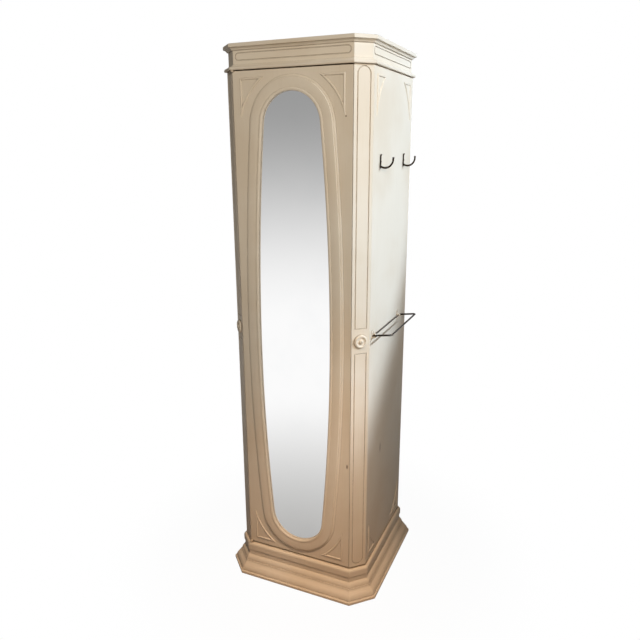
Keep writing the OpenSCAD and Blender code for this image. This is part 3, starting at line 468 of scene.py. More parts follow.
def latticeMesh(rows, rowLoops=True, columnLoops=False, capped=False):
    made = bmesh.new()
    grid = [[made.verts.new(p) for p in row] for row in rows]
    across, along = len(rows[0]), len(rows)
    for i in range(along if columnLoops else along - 1):
        upper, lower = grid[i], grid[(i + 1) % along]
        for j in range(across if rowLoops else across - 1):
            k = (j + 1) % across
            made.faces.new((upper[j], upper[k], lower[k], lower[j]))
    if capped:
        made.faces.new(grid[0])
        made.faces.new(grid[-1])
    return made


def closeMesh(name, shells):
    made = bmesh.new()
    for shell in shells:
        bmesh.ops.remove_doubles(shell, verts=shell.verts, dist=tiny)
        bmesh.ops.recalc_face_normals(shell, faces=shell.faces)
        part = bpy.data.meshes.new("part")
        shell.to_mesh(part)
        shell.free()
        made.from_mesh(part)
        bpy.data.meshes.remove(part)
    data = bpy.data.meshes.new(name)
    made.to_mesh(data)
    made.free()
    return data


def addPiece(name, shells, body, finish, replaced=(), sharp=42):
    data = closeMesh(name, shells)
    data.materials.append(finish)
    data.shade_smooth()
    data.set_sharp_from_angle(angle=math.radians(sharp))
    piece = bpy.data.objects.new(name, data)
    bpy.context.scene.collection.objects.link(piece)
    evened = piece.modifiers.new("evenNormals", "WEIGHTED_NORMAL")
    evened.keep_sharp = True
    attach(piece, body)
    if replaced:
        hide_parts(*replaced)
    return piece


# Rows of points round the column at each outline point, with its mitred corners a little rounded
def columnRows(outline, cornerRound, steps=4):
    rows = []
    for corner in range(8):
        fromAngle = math.radians(45 * corner - 90)
        toAngle = fromAngle + math.pi / 4
        middle = (fromAngle + toAngle) / 2
        mitre = Vector((math.cos(middle), math.sin(middle))) / math.cos(math.pi / 8)
        side = -1 if corner % 2 == 0 else 1
        flank = math.radians(90 * ((corner + 1) // 2) - 90)
        at = Vector((math.cos(flank), math.sin(flank))) * halfWidth
        at += Vector((math.sin(flank), -math.cos(flank))) * side * flatHalf
        for s in range(steps + 1):
            angle = fromAngle + (toAngle - fromAngle) * s / steps
            bend = at + Vector((math.cos(angle), math.sin(angle))) * cornerRound
            row = [bend + mitre * (out * mm - cornerRound) for out, up in outline]
            rows.append([Vector((p.x, p.y, up * mm)) for p, (out, up) in zip(row, outline)])
    return rows


def sweptRound(outline, cornerRound):
    return latticeMesh(columnRows(outline, cornerRound), True, True)


def latheMesh(outline, steps=56):
    rows = []
    for i in range(steps):
        angle = 2 * math.pi * i / steps
        across, up = mm * math.cos(angle), mm * math.sin(angle)
        rows.append([Vector((r * across, r * up, h * mm)) for r, h in outline])
    return latticeMesh(rows, False, True)


# A tube along a flat path, whose ends are domes
def tubeMesh(path, radii, flatNormal, sides=16, dome=4):
    count = len(path)
    across = Vector(flatNormal).normalized()
    rings = []
    for i, place in enumerate(path):
        ahead = (path[min(i + 1, count - 1)] - path[max(i - 1, 0)]).normalized()
        rings.append((place, ahead, radii[i]))
    first, last = rings[0], rings[-1]
    for s in range(1, dome + 1):
        angle = math.pi / 2 * s / dome
        for end, way in ((first, -1), (last, 1)):
            place, ahead, radius = end
            shifted = place + ahead * way * radius * math.sin(angle)
            ring = (shifted, ahead, max(radius * math.cos(angle), 10 * tiny))
            rings.insert(0, ring) if way < 0 else rings.append(ring)
    rows = []
    for place, ahead, radius in rings:
        other = ahead.cross(across).normalized()
        turn = [2 * math.pi * i / sides for i in range(sides)]
        rows.append([place + radius * (across * math.cos(t) + other * math.sin(t)) for t in turn])
    return latticeMesh(rows, True, False, True)


# Face k of the column: 0 is the mirror side, each next one is 45 degrees round
def faceMatrix(face, along=0, up=0, out=0):
    at = halfWidth if face % 2 == 0 else slantAt
    turned = Matrix.Rotation(math.radians(45 * face), 4, "Z")
    standing = Matrix.Rotation(math.pi / 2, 4, "X")
    return turned @ Matrix.Translation((0, -at, 0)) @ standing @ Matrix.Translation((along, up, out))


def moved(shell, matrix):
    bmesh.ops.transform(shell, matrix=matrix, verts=shell.verts)
    return shell


# A carried-over node keeps its shape; its edges are eased and it takes a finish
easeSetup = {
    "weldWithin": 0.005,
    "flatWithin": 0.5,
    "sharpFrom": 35,
}


def dressNode(name, finish, edge=0.8, segments=3):
    piece = nodes[name]
    for entry in piece.material_slots:
        entry.material = finish
    weld = piece.modifiers.new("weld", "WELD")
    weld.merge_threshold = easeSetup["weldWithin"] * mm
    flatten = piece.modifiers.new("flatten", "DECIMATE")
    flatten.decimate_type = "DISSOLVE"
    flatten.angle_limit = math.radians(easeSetup["flatWithin"])
    ease = piece.modifiers.new("ease", "BEVEL")
    ease.width = edge * mm
    ease.segments = segments
    ease.limit_method = "ANGLE"
    ease.angle_limit = math.radians(easeSetup["sharpFrom"])
    ease.use_clamp_overlap = False
    even = piece.modifiers.new("evenNormals", "WEIGHTED_NORMAL")
    even.keep_sharp = False


# Plinth and crown mouldings
plinthSetup = {
    "inward": 14,
    "outward": 44,
    "foot": 2,
    "footSag": 1,
    "band": 12,
    "bandRound": 3,
    "ledge": 2,
    "shallow": 1,
    "lowHollow": (27, 35),
    "shoulder": (19.5, 48),
    "neck": (6.5, 66),
    "bead": 29,
    "beadSwell": 3,
    "beadRound": 9,
    "ease": 0.8,
    "cornerRound": 0.0022,
}


def plinthOutline(setup):
    top = plinthTop / mm
    out, foot, ledge, roundness = setup["outward"], setup["foot"], setup["ledge"], setup["bandRound"]
    hollowOut, hollowTop = setup["lowHollow"]
    shoulderOut, shoulderTop = setup["shoulder"]
    neckOut, neckLow = setup["neck"]
    beadLow, beadOut, beadRound = top - setup["bead"], neckOut + setup["beadSwell"], setup["beadRound"]
    points = [(-setup["inward"], foot), (out - roundness, foot)]
    points += arcBetween((out - roundness, foot), (out, foot + roundness), -setup["footSag"])[1:]
    points += [(out, setup["band"])]
    points += arcBetween((out - 3 * ledge, setup["band"] + ledge), (hollowOut, hollowTop), -roundness)
    points += arcBetween((hollowOut - ledge, hollowTop + ledge), (shoulderOut, shoulderTop - ledge),
        setup["shallow"])
    points += [(shoulderOut, shoulderTop)]
    points += arcBetween((shoulderOut - ledge, shoulderTop), (neckOut, neckLow), -roundness)
    points += [(neckOut, beadLow)]
    points += arcBetween((neckOut + ledge / 2, beadLow), (beadOut, beadLow + ledge), -ledge / 4, 4)
    sag = (math.cos(math.pi / 4) - 1) * beadRound
    points += arcBetween((beadOut, top - beadRound), (beadOut - beadRound, top), sag)
    points += [(-setup["inward"], top)]
    return softened(points, setup["ease"])


crownSetup = {
    "frieze": -5,
    "outward": 9.5,
    "nose": 11.5,
    "cap": 19,
    "skirt": 15,
    "skirtBead": 9,
    "ledge": 2,
    "shallow": 1,
    "ease": 0.7,
    "cornerRound": 0.0018,
}


def capOutline(setup):
    top, out, inner, ledge = crownTop / mm, setup["outward"], setup["frieze"], setup["ledge"]
    low, noseLow = top - setup["cap"], top - setup["nose"]
    points = [(inner, low), (inner + ledge, low)]
    points += arcBetween((inner + 2 * ledge, low + ledge / 2), (out - 1.5 * ledge, noseLow),
        setup["shallow"])
    points += arcBetween((out - ledge, noseLow), (out, noseLow + ledge), -ledge / 4)
    points += arcBetween((out, top - 1.5 * ledge), (out - 1.5 * ledge, top), -ledge / 3)
    points += [(inner, top)]
    return softened(points, setup["ease"])


def skirtOutline(setup):
    low, out, inner, ledge = bodyTop / mm, setup["outward"], setup["frieze"], setup["ledge"]
    top, beadTop = low + setup["skirt"], low + setup["skirtBead"]
    points = [(inner, low), (out - ledge, low)]
    points += arcBetween((out - ledge, low), (out - 2 * ledge, beadTop), -ledge)[1:]
    points += arcBetween((out - 3 * ledge, beadTop), (inner + ledge, top - ledge / 2), setup["shallow"])
    points += [(inner + ledge / 2, top), (inner, top)]
    return softened(points, setup["ease"])


addPiece("plinthMoulding", [sweptRound(plinthOutline(plinthSetup), plinthSetup["cornerRound"])],
    "plinth", creamPlinth, ["plinth_mouldings"])
addPiece("crownCap", [sweptRound(capOutline(crownSetup), crownSetup["cornerRound"])],
    "column", creamLevel, ["crown_cap_moulding"])
addPiece("crownSkirt", [sweptRound(skirtOutline(crownSetup), crownSetup["cornerRound"])],
    "column", creamLevel, ["crown_skirt_moulding"])
dressNode("crown_frieze", creamLevel, 0.6)
print("plinth and crown mouldings made")

# Oval moulding round the mirror
ovalSetup = {
    "glassLap": 9,
    "endRound": 30,
    "width": 45,
    "lip": 7,
    "bead": 9,
    "beadRise": 1.4,
    "quirk": 1,
    "swell": 0.8,
    "step": 7,
    "stepHigh": 4,
    "stepLow": 1.2,
    "stepRise": 0.6,
    "ease": 0.5,
    "swellSteps": 20,
    "slopeSteps": 8,
    "endSteps": 56,
    "sideSteps": 44,
}
glassLow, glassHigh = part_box("mirror_glass")
mirrorMid = (glassLow.z + glassHigh.z) / 2
sightHalfWidth = glassHigh.x / mm - ovalSetup["glassLap"]
sightHalfHeight = (glassHigh.z - glassLow.z) / 2 / mm - ovalSetup["glassLap"]
endRadius = sightHalfWidth - ovalSetup["endRound"]
endAt = sightHalfHeight - endRadius


def ovalOutline(setup):
    lip, high, width, edge = setup["lip"], setup["stepHigh"], setup["width"], setup["quirk"] / 2
    quirk, stepIn = setup["bead"] + setup["quirk"], width - setup["step"]
    points = [(0, 0)]
    points += arcBetween((edge, lip), (setup["bead"], lip + 2 * edge), setup["beadRise"])
    points += [(quirk, lip)]
    points += arcBetween((quirk + edge, lip + edge), (stepIn - edge, lip + edge), setup["swell"],
        setup["swellSteps"])
    points += [(stepIn + edge, high)]
    points += arcBetween((stepIn + setup["quirk"], high), (width, setup["stepLow"]), setup["stepRise"],
        setup["slopeSteps"])
    points += [(width, 0)]
    return softened(points, setup["ease"])


# Arcs of the oval: centre, radius, first and last angle; they meet smoothly
def ovalArcs():
    sideRadius = (sightHalfWidth ** 2 - endRadius ** 2 + endAt ** 2) / (2 * (sightHalfWidth - endRadius))
    meet = math.asin(endAt / (sideRadius - endRadius))
    sideX = sideRadius - sightHalfWidth
    return [
        ((-sideX, 0), sideRadius, -meet, meet, ovalSetup["sideSteps"]),
        ((0, endAt), endRadius, meet, math.pi - meet, ovalSetup["endSteps"]),
        ((sideX, 0), sideRadius, math.pi - meet, math.pi + meet, ovalSetup["sideSteps"]),
        ((0, -endAt), endRadius, math.pi + meet, 2 * math.pi - meet, ovalSetup["endSteps"]),
    ]


def ovalMesh(outline):
    rows = []
    for (centreX, centreY), radius, first, last, steps in ovalArcs():
        for i in range(steps):
            angle = first + (last - first) * i / steps
            rows.append([Vector((
                (centreX + (radius + out) * math.cos(angle)) * mm,
                (centreY + (radius + out) * math.sin(angle)) * mm,
                up * mm)) for out, up in outline])
    return moved(latticeMesh(rows, True, True), faceMatrix(0, 0, mirrorMid))


addPiece("ovalMoulding", [ovalMesh(ovalOutline(ovalSetup))], "mirror_door", creamUpright,
    ["oval_moulding"])
dressNode("door_panel", creamUpright, 0.8)
dressNode("mirror_glass", mirror, 0.3, 1)
dressNode("mirror_backer", hardboard, 0.5, 1)
print("door and mirror made")

# Corner beads: two straight legs and one leg that follows the oval
beadSetup = {
    "width": 6.5,
    "high": 3,
    "edgeShare": 1 / 3,
    "side": 25,
    "end": 22,
    "wide": 80,
    "tall": 116,
    "hollow": 205,
    "ease": 0.5,
    "arcSteps": 28,
    "roundSteps": 12,
}


def beadLoop(setup, inset):
    wide, tall, radius = setup["wide"], setup["tall"], setup["hollow"] + inset
    spread = math.sqrt(setup["hollow"] ** 2 / (wide ** 2 + tall ** 2) - 0.25)
    middle = Vector((-wide / 2 - spread * tall, -tall / 2 - spread * wide))
    fromAngle = math.asin((-inset - middle.y) / radius)
    toAngle = math.acos((-inset - middle.x) / radius)
    loop = [(-inset, -inset)]
    for i in range(setup["arcSteps"] + 1):
        angle = fromAngle + (toAngle - fromAngle) * i / setup["arcSteps"]
        loop.append((middle.x + radius * math.cos(angle), middle.y + radius * math.sin(angle)))
    return loop


def beadMesh(setup):
    width, high, ease = setup["width"], setup["high"], setup["ease"]
    edge = high * setup["edgeShare"]
    outline = [(0, 0)] + arcBetween((ease, edge), (width - ease, edge), high - edge,
        setup["roundSteps"]) + [(width, 0)]
    rows = []
    for inset, up in softened(outline, ease, False):
        rows.append([Vector((x * mm, y * mm, up * mm)) for x, y in beadLoop(setup, inset)])
    return latticeMesh(rows, True, True)


def faceBeads(name, face, body, replaced):
    shells = []
    middle, reach = (bodyLow + bodyTop) / 2, (bodyTop - bodyLow) / 2 - beadSetup["end"] * mm
    corner = Matrix.Translation((flatHalf - beadSetup["side"] * mm, reach, 0))
    for flipUp in (1, -1):
        for flipSide in (1, -1):
            place = faceMatrix(face, 0, middle) @ Matrix.Diagonal((flipSide, flipUp, 1, 1)) @ corner
            shells.append(moved(beadMesh(beadSetup), place))
    addPiece(name, shells, body, creamUpright, [replaced])


faceBeads("doorBeads", 0, "mirror_door", "door_beads")
faceBeads("rightPanelBeads", 2, "column", "right_panel_beads")
faceBeads("leftPanelBeads", 6, "column", "left_panel_beads")
print("corner beads made")

# Posts, panels and rosettes
for postName in ("front_left_post", "front_right_post", "rear_left_post", "rear_right_post"):
    dressNode(postName, creamUpright, 0.8)
for panelName in ("left_side_panel", "right_side_panel"):
    dressNode(panelName, creamUpright, 0.5, 2)

rosetteSetup = {
    "radius": 22,
    "high": 9,
    "rim": 5.5,
    "hollow": 5,
    "button": 7,
    "dimple": 2,
    "dimpleSag": 0.6,
    "dimpleSteps": 5,
    "foot": 1,
    "shallow": 1,
    "ease": 0.4,
}


def rosetteOutline(setup):
    radius, high, foot = setup["radius"], setup["high"], setup["foot"]
    rimIn, crest = radius - setup["rim"], high - 2 * foot
    points = [(0, 0), (radius - foot, 0)]
    points += arcBetween((radius, foot), (rimIn, crest), -2 * foot)
    points += arcBetween((rimIn - foot, crest), (setup["button"] + foot, setup["hollow"] - foot),
        setup["shallow"])
    points += arcBetween((setup["button"], setup["hollow"]), (setup["dimple"], high), -foot)
    points += arcBetween((setup["dimple"], high), (0, high - setup["dimple"]), setup["dimpleSag"],
        setup["dimpleSteps"])
    return softened(points, setup["ease"], False)


rosetteLow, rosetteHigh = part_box("post_rosettes")
rosetteUp = (rosetteLow.z + rosetteHigh.z) / 2
addPiece("postRosettes", [moved(latheMesh(rosetteOutline(rosetteSetup)), faceMatrix(face, 0, rosetteUp))
    for face in (1, 3, 5, 7)], "column", creamUpright, ["post_rosettes"])
print("posts and rosettes made")

# Screws with a slot across a low dome
screwSetup = {
    "head": 3.5,
    "high": 1.6,
    "rimShare": 0.35,
    "domeShare": 0.18,
    "slot": 0.45,
    "slotFloor": 0.6,
    "floorShare": 0.92,
    "ease": 0.2,
    "steps": 28,
}


def screwShells(radius, high, setup):
    steps, slotFloor = setup["steps"], setup["slotFloor"]
    dome = [(0, 0), (radius, 0)]
    dome += arcBetween((radius, setup["rimShare"] * high), (0, high), -setup["domeShare"] * radius, 8)
    halves = []
    for side in (1, -1):
        half = latheMesh(softened(dome, setup["ease"], False), steps)
        bmesh.ops.remove_doubles(half, verts=half.verts, dist=tiny)
        cut = bmesh.ops.bisect_plane(half, geom=half.verts[:] + half.edges[:] + half.faces[:],
            plane_co=(side * setup["slot"] * mm, 0, 0), plane_no=(side, 0, 0), clear_inner=True)
        rim = [e for e in cut["geom_cut"] if isinstance(e, bmesh.types.BMEdge)]
        bmesh.ops.edgeloop_fill(half, edges=rim)
        halves.append(half)
    inside = setup["floorShare"] * radius
    floor = [(0, 0), (inside, 0), (inside, slotFloor), (0, slotFloor)]
    return halves + [latheMesh(floor, steps)]


def cornersInset(node, inset):
    low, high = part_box(node)
    return [(y, z) for y in (low.y + inset, high.y - inset) for z in (low.z + inset, high.z - inset)]


def sideScrews(name, node, turns, finish):
    radius, high = screwSetup["head"], screwSetup["high"]
    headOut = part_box(node)[1].x - halfWidth - high * mm
    shells = []
    for (y, z), turn in zip(cornersInset(node, radius * mm), turns):
        place = faceMatrix(2, y, z, headOut) @ Matrix.Rotation(math.radians(turn), 4, "Z")
        shells += [moved(shell, place) for shell in screwShells(radius, high, screwSetup)]
    addPiece(name, shells, "column", finish, [node])


sideScrews("hookScrews", "hook_screws", (12, 78, 35, 120), bronze)
sideScrews("bracketScrews", "bracket_screws", (80, 20, 140, 64), creamUpright)

# Robe hooks: a narrow strap whose top curls outward, and a bent arm with a plain round tip
hookSetup = {
    "plateWide": 9,
    "plateThick": 2.5,
    "plateHigh": 44,
    "plateEase": 0.7,
    "footNarrow": 0.45,
    "topNarrow": 0.85,
    "curl": 5,
    "curlRise": 1.6,
    "curlTurn": 70,
    "curlSteps": 8,
    "rod": 3.2,
    "tipRod": 2.7,
    "bend": 24.5,
    "bendOut": 15.5,
    "tip": 3.5,
    "tipSwell": 0.5,
    "gap": 0.2,
    "steps": 26,
    "sides": 20,
    "dome": 5,
}


def strapMesh(setup):
    half, curl, steps = setup["plateThick"] / 2, setup["curl"], setup["curlSteps"]
    wide, straight = setup["plateWide"] / 2, setup["plateHigh"] - 2 * curl
    spine = [(half, up) for up in (wide * 0.1, wide, setup["plateHigh"] / 2, straight)]
    for i in range(1, steps + 1):
        angle = math.radians(setup["curlTurn"]) * i / steps
        out = half + curl * (1 - math.cos(angle))
        spine.append((out, straight + setup["curlRise"] * curl * math.sin(angle)))
    rows = []
    for i, (out, up) in enumerate(spine):
        nextOut, nextUp = spine[min(i + 1, len(spine) - 1)]
        lastOut, lastUp = spine[max(i - 1, 0)]
        ahead = Vector((nextOut - lastOut, nextUp - lastUp)).normalized()
        normal = Vector((ahead.y, -ahead.x))
        narrow = setup["footNarrow"] if i == 0 else setup["topNarrow"] if i >= len(spine) - 2 else 1
        reach = wide * narrow
        loop = softened([(-reach, -half), (reach, -half), (reach, half), (-reach, half)],
            setup["plateEase"])
        rows.append([Vector((a, up + normal.y * b, out + normal.x * b)) * mm for a, b in loop])
    return latticeMesh(rows, True, False, True)


def armMesh(setup):
    middleUp = setup["rod"] + setup["bend"] + setup["gap"]
    leave = math.acos(-setup["bendOut"] / setup["bend"])
    path, radii = [], []
    for i in range(setup["steps"] + 1):
        share = i / setup["steps"]
        angle = -leave * (1 - share)
        up, out = setup["bend"] * math.sin(angle), setup["bend"] * math.cos(angle)
        path.append(Vector((0, middleUp + up, setup["bendOut"] + out)) * mm)
        radii.append((setup["rod"] + (setup["tipRod"] - setup["rod"]) * share) * mm)
    for share in (0.3, 0.6, 0.85, 1):
        path.append(path[setup["steps"]] + Vector((0, setup["tip"] * share * mm, 0)))
        radii.append((setup["tipRod"] + setup["tipSwell"] * share) * mm)
    return tubeMesh(path, radii, (1, 0, 0), setup["sides"], setup["dome"])


def robeHooks():
    low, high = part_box("robe_hooks")
    half = hookSetup["plateWide"] / 2 * mm
    shells = []
    for y in (low.y + half, high.y - half):
        place = faceMatrix(2, y, low.z)
        shells += [moved(strapMesh(hookSetup), place), moved(armMesh(hookSetup), place)]
    addPiece("robeHooks", shells, "column", bronze, ["robe_hooks"])


robeHooks()

# Valet bar: a loop of rod that folds up, thin where it turns in its brackets
valetSetup = {
    "rod": 3,
    "pin": 2,
    "bend": 9,
    "reach": 58,
    "tilt": 8,
    "bendSteps": 10,
    "rodSides": 20,
    "pinSides": 16,
}


def valetLoop(setup):
    low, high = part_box("valet_bar")
    rod, bend, reach = setup["rod"] * mm, setup["bend"] * mm, setup["reach"] * mm
    half = (high.y - low.y) / 2 - rod
    tilted = Matrix.Rotation(-math.radians(setup["tilt"]), 4, "X")
    place = faceMatrix(2, (low.y + high.y) / 2, low.z + rod, low.x + rod - halfWidth) @ tilted
    path = [Vector((-half, 0, reach * share)) for share in (0, 0.25, 0.5, 0.75)]
    for side in (-1, 1):
        centre = Vector((side * (half - bend), 0, reach - bend))
        for i in range(setup["bendSteps"] + 1):
            angle = math.pi / 2 * i / setup["bendSteps"]
            swing = angle if side < 0 else math.pi / 2 - angle
            path.append(centre + Vector((side * math.cos(swing), 0, math.sin(swing))) * bend)
    path += [Vector((half, 0, reach * share)) for share in (0.75, 0.5, 0.25, 0)]
    path = [path[i] for i in range(len(path)) if i == 0 or (path[i] - path[i - 1]).length > tiny]
    loop = tubeMesh(path, [rod] * len(path), (0, 1, 0), setup["rodSides"])
    pinPath = [Vector((half * share, 0, 0)) for share in (-1, -0.5, 0, 0.5, 1)]
    pin = tubeMesh(pinPath, [setup["pin"] * mm] * len(pinPath), (0, 1, 0), setup["pinSides"])
    addPiece("valetBar", [moved(loop, place), moved(pin, place)], "valet_bar", bronze,
        ["valet_bar"])


valetLoop(valetSetup)
dressNode("valet_brackets", creamUpright, 0.4, 2)
print("hooks and valet bar made")

# Front bay: shelves, necklace rail and tray
for boardName in ("divider_panel", "bay_cheeks"):
    dressNode(boardName, innerUpright, 0.6, 2)
for boardName in ("floor_board", "top_board", "front_shelves", "bay_shelves", "necklace_rail", "crown_lid"):
    dressNode(boardName, innerLevel, 0.6, 2)
dressNode("jewel_tray", innerLevel, 0.8, 2)

necklaceSetup = {
    "count": 9,
    "rod": 2,
    "bend": 5,
    "ball": 3,
    "sunk": 8,
    "rise": 10,
    "bendSteps": 8,
    "sides": 14,
}


def ballMesh(centre, radius):
    made = bmesh.new()
    bmesh.ops.create_icosphere(made, subdivisions=3, radius=radius, matrix=Matrix.Translation(centre))
    return made


def necklaceHooks(setup):
    low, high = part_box("necklace_hooks")
    ball, rod, bend = setup["ball"] * mm, setup["rod"] * mm, setup["bend"] * mm
    tipY, rootY = low.y + ball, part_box("necklace_rail")[0].y
    rodZ, steps = high.z - ball - setup["rise"] * mm, setup["bendSteps"]
    shells = []
    for i in range(setup["count"]):
        x = low.x + ball + (high.x - low.x - 2 * ball) * i / (setup["count"] - 1)
        path = [Vector((x, y, rodZ)) for y in (rootY + setup["sunk"] * mm, rootY, (rootY + tipY) / 2)]
        for s in range(steps + 1):
            angle = math.pi / 2 * s / steps
            ahead, down = bend * math.sin(angle), bend * math.cos(angle)
            path.append(Vector((x, tipY + bend - ahead, rodZ + bend - down)))
        path.append(Vector((x, tipY, high.z - 2 * ball)))
        path.append(Vector((x, tipY, high.z - ball)))
        shells += [tubeMesh(path, [rod] * len(path), (1, 0, 0), setup["sides"]), ballMesh(path[-1], ball)]
    addPiece("necklaceHooks", shells, "column", bronze, ["necklace_hooks"])


necklaceHooks(necklaceSetup)

liningSetup = {
    "pockets": 2,
    "wall": 6,
    "gap": 0.3,
    "lift": 0.05,
    "thick": 2.4,
    "crown": 1.6,
    "squareness": 6,
    "steps": 16,
}


def trayLining(setup):
    low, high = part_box("jewel_tray")
    wall, gap, count = setup["wall"] * mm, setup["gap"] * mm, setup["pockets"]
    thick, crown, power, steps = (setup[k] for k in ("thick", "crown", "squareness", "steps"))
    pocket = (high.x - low.x - (count + 1) * wall) / count
    front, back, floor = low.y + wall + gap, high.y - wall - gap, low.z + wall
    shells = []
    for i in range(count):
        left = low.x + wall + i * (pocket + wall) + gap
        rows = []
        for r in range(steps + 1):
            row = []
            for c in range(steps + 1):
                u, v = c / steps, r / steps
                swell = (1 - abs(2 * u - 1) ** power) * (1 - abs(2 * v - 1) ** power)
                row.append(Vector((left + (pocket - 2 * gap) * u, front + (back - front) * v,
                    floor + (thick + crown * swell) * mm)))
            rows.append(row)
        top = latticeMesh(rows, False, False)
        rim = [e for e in top.edges if len(e.link_faces) == 1]
        skirt = bmesh.ops.extrude_edge_only(top, edges=rim)["geom"]
        lowered = [v for v in skirt if isinstance(v, bmesh.types.BMVert)]
        for vert in lowered:
            vert.co.z = floor + setup["lift"] * mm
        shells.append(top)
    addPiece("trayLining", shells, "column", velvet)


trayLining(liningSetup)
dressNode("magnetic_catch", nylon, 0.8)
dressNode("catch_plate", zinc, 0.2, 1)
dressNode("backer_clips", zinc, 0.3, 2)
for leafName in ("hinge_fixed_leaves", "hinge_door_leaves"):
    dressNode(leafName, hingePaint, 0.3, 2)
print("front bay made")

# Rear drawers
knobSetup = {
    "radius": 14,
    "length": 24,
    "ledge": 2,
    "hollow": 2,
    "flatShare": 0.6,
    "flatDrop": 0.3,
    "ease": 0.6,
}


def knobOutline(setup):
    radius, length, ledge = setup["radius"], setup["length"], setup["ledge"]
    neck = radius / 2
    points = [(0, 0), (neck + ledge, 0)]
    points += arcBetween((neck + ledge, ledge), (radius - ledge, length / 2), setup["hollow"], 10)
    points += arcBetween((radius - ledge, length / 2), (neck, length - ledge / 2), -neck / 2, 14)
    points += [(neck * setup["flatShare"], length - setup["flatDrop"]), (0, length)]
    return softened(points, setup["ease"], False)


for number in range(1, 5):
    dressNode(f"drawer_front_{number}", creamLevel, 0.8)
    dressNode(f"drawer_box_{number}", innerLevel, 0.6, 2)
    knobLow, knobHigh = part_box(f"drawer_knob_{number}")
    knob = moved(latheMesh(knobOutline(knobSetup)), faceMatrix(4, 0, (knobLow.z + knobHigh.z) / 2))
    addPiece(f"drawerKnob{number}", [knob], f"drawer_{number}", creamUpright,
        [f"drawer_knob_{number}"])
print("drawers made")

# Turning base
dressNode("plinth_deck", innerLevel, 0.8, 2)
dressNode("plinth_cross_rails", innerLevel, 0.8, 2)
dressNode("floor_glides", blackPlastic, 0.8, 2)
dressNode("bearing_spacer", innerLevel, 0.6, 2)
for plateName in ("turntable_lower_plate", "turntable_upper_plate", "lower_plate_screws",
        "upper_plate_screws"):
    dressNode(plateName, zinc, 0.3, 2)
dressNode("ball_cage", nylon, 0.2, 1)
for entry in nodes["bearing_balls"].material_slots:
    entry.material = ballSteel
print("turning base made")

# Studio: pale floor, what the mirror sees, and four spots. The key and the graze beside it come from
# the right, and the edges of their cones draw the slanting shadow on the side
studioSetup = {
    "floorSize": 14,
    "floorTone": tone(240, 239, 236),
    "bounceTone": tone(150, 118, 88),
    "shadowShare": 0.97,
    "shadowReach": (0.4, 0.9),
    "nearTone": tone(168, 167, 165),
    "glossFloorReach": (0, 2.0),
    "worldTone": (1.0, 0.94, 0.85, 1),
    "worldStrength": 0.06,
    "glossTone": (0.335, 0.335, 0.335, 1),
    "glossReach": (-0.29, 0.09),
    "lamps": {
        "keyLamp": {"at": (4.5, 0.8, 3.3), "aim": (0.24, -1.05, 1.95), "power": 780, "radius": 0.1,
            "cone": 37.4, "blend": 0.15, "tone": (0.66, 0.79, 0.97), "gloss": True},
        "grazeLamp": {"at": (4.5, -0.25, 3.3), "aim": (0.24, -1.02, 1.96), "power": 290, "radius": 0.1,
            "cone": 37.4, "blend": 0.15, "tone": (0.66, 0.79, 0.97), "gloss": True},
        "fillLamp": {"at": (2.1, -3.58, 2.39), "aim": (0, -0.24, 1.6), "power": 432, "radius": 0.6,
            "cone": 42, "blend": 1, "tone": (1.0, 0.93, 0.85), "gloss": False},
        "lowLamp": {"at": (0.7, -1.15, 2.45), "aim": (0.1, -0.45, 0), "power": 190, "radius": 0.15,
            "cone": 34, "blend": 1, "tone": (1.0, 0.71, 0.5), "gloss": False},
    },
}


# White to the camera, in gloss and through glass, and a plain pale surface to all other light
def seenShares(here):
    path = here.tree.nodes.new("ShaderNodeLightPath")
    camera, glossy, through = (Wire(here.tree, path.outputs[name])
        for name in ("Is Camera Ray", "Is Glossy Ray", "Is Transmission Ray"))
    return camera + through, glossy


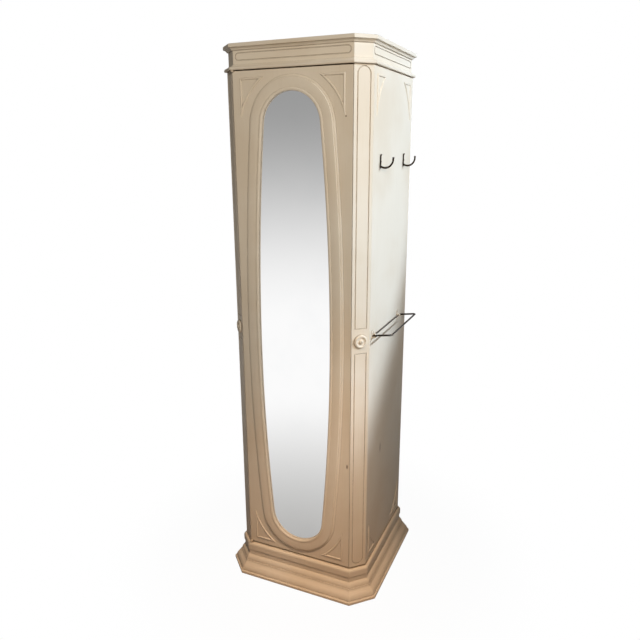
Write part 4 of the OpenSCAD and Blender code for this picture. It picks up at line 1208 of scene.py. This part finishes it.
def floorFinish(name, setup):
    material, here = startFinish(name)
    away = here.length()
    glow = setup["shadowShare"] + (1 - setup["shadowShare"]) * away.fade(*setup["shadowReach"])
    seen, glossy = seenShares(here)
    colour = (seen + glossy).tint(setup["bounceTone"], setup["floorTone"])
    matt = here.make("ShaderNodeBsdfDiffuse", {}, {"Color": colour}, "BSDF")
    lit = glossy.tint((1, 1, 1, 1), setup["nearTone"])
    white = here.make("ShaderNodeEmission", {}, {"Color": lit, "Strength": 1}, "Emission")
    clear = here.make("ShaderNodeBsdfTransparent", {}, {}, "BSDF")
    shown = glow * (seen + glossy)
    surface = here.make("ShaderNodeMixShader", {}, {0: shown, 1: matt, 2: white}, "Shader")
    distant = away.fade(*setup["glossFloorReach"]) * glossy
    surface = here.make("ShaderNodeMixShader", {}, {0: distant, 1: surface, 2: clear}, "Shader")
    here.make("ShaderNodeOutputMaterial", {}, {"Surface": surface}, None)
    return material


def makeFloor(setup):
    half = setup["floorSize"] / 2
    made = bmesh.new()
    corners = ((-half, -half), (half, -half), (half, half), (-half, half))
    made.faces.new([made.verts.new((x, y, 0)) for x, y in corners])
    data = bpy.data.meshes.new("floor")
    made.to_mesh(data)
    made.free()
    data.materials.append(floorFinish("paleFloor", setup))
    floor = bpy.data.objects.new("floor", data)
    bpy.context.scene.collection.objects.link(floor)


def makeWorld(setup):
    world = bpy.data.worlds.new("studio")
    world.use_nodes = True
    tree = world.node_tree
    tree.nodes.clear()
    here = Wire(tree, tree.nodes.new("ShaderNodeTexCoord").outputs["Generated"])
    soft = here.make("ShaderNodeBackground", {},
        {"Color": setup["worldTone"], "Strength": setup["worldStrength"]}, "Background")
    height = here.make("ShaderNodeSeparateXYZ", {}, {0: here}, "Z").fade(*setup["glossReach"])
    seen, glossy = seenShares(here)
    backdrop = (height * glossy).tint((1, 1, 1, 1), setup["glossTone"])
    white = here.make("ShaderNodeBackground", {}, {"Color": backdrop, "Strength": 1}, "Background")
    surface = here.make("ShaderNodeMixShader", {}, {0: seen + glossy, 1: soft, 2: white}, "Shader")
    here.make("ShaderNodeOutputWorld", {}, {"Surface": surface}, None)
    bpy.context.scene.world = world


def makeLamp(name, setup):
    data = bpy.data.lights.new(name, "SPOT")
    data.spot_size = math.radians(setup["cone"])
    data.spot_blend = setup["blend"]
    data.shadow_soft_size = setup["radius"]
    data.energy = setup["power"]
    data.color = setup["tone"]
    lamp = bpy.data.objects.new(name, data)
    aim = Vector(setup["aim"]) - Vector(setup["at"])
    lamp.matrix_world = Matrix.Translation(setup["at"]) @ aim.to_track_quat("-Z", "Y").to_matrix().to_4x4()
    lamp.visible_glossy = setup["gloss"]
    bpy.context.scene.collection.objects.link(lamp)


makeFloor(studioSetup)
makeWorld(studioSetup)
for lampName, lampSetup in studioSetup["lamps"].items():
    makeLamp(lampName, lampSetup)
bpy.context.scene.view_settings.view_transform = "Standard"
print("studio made")
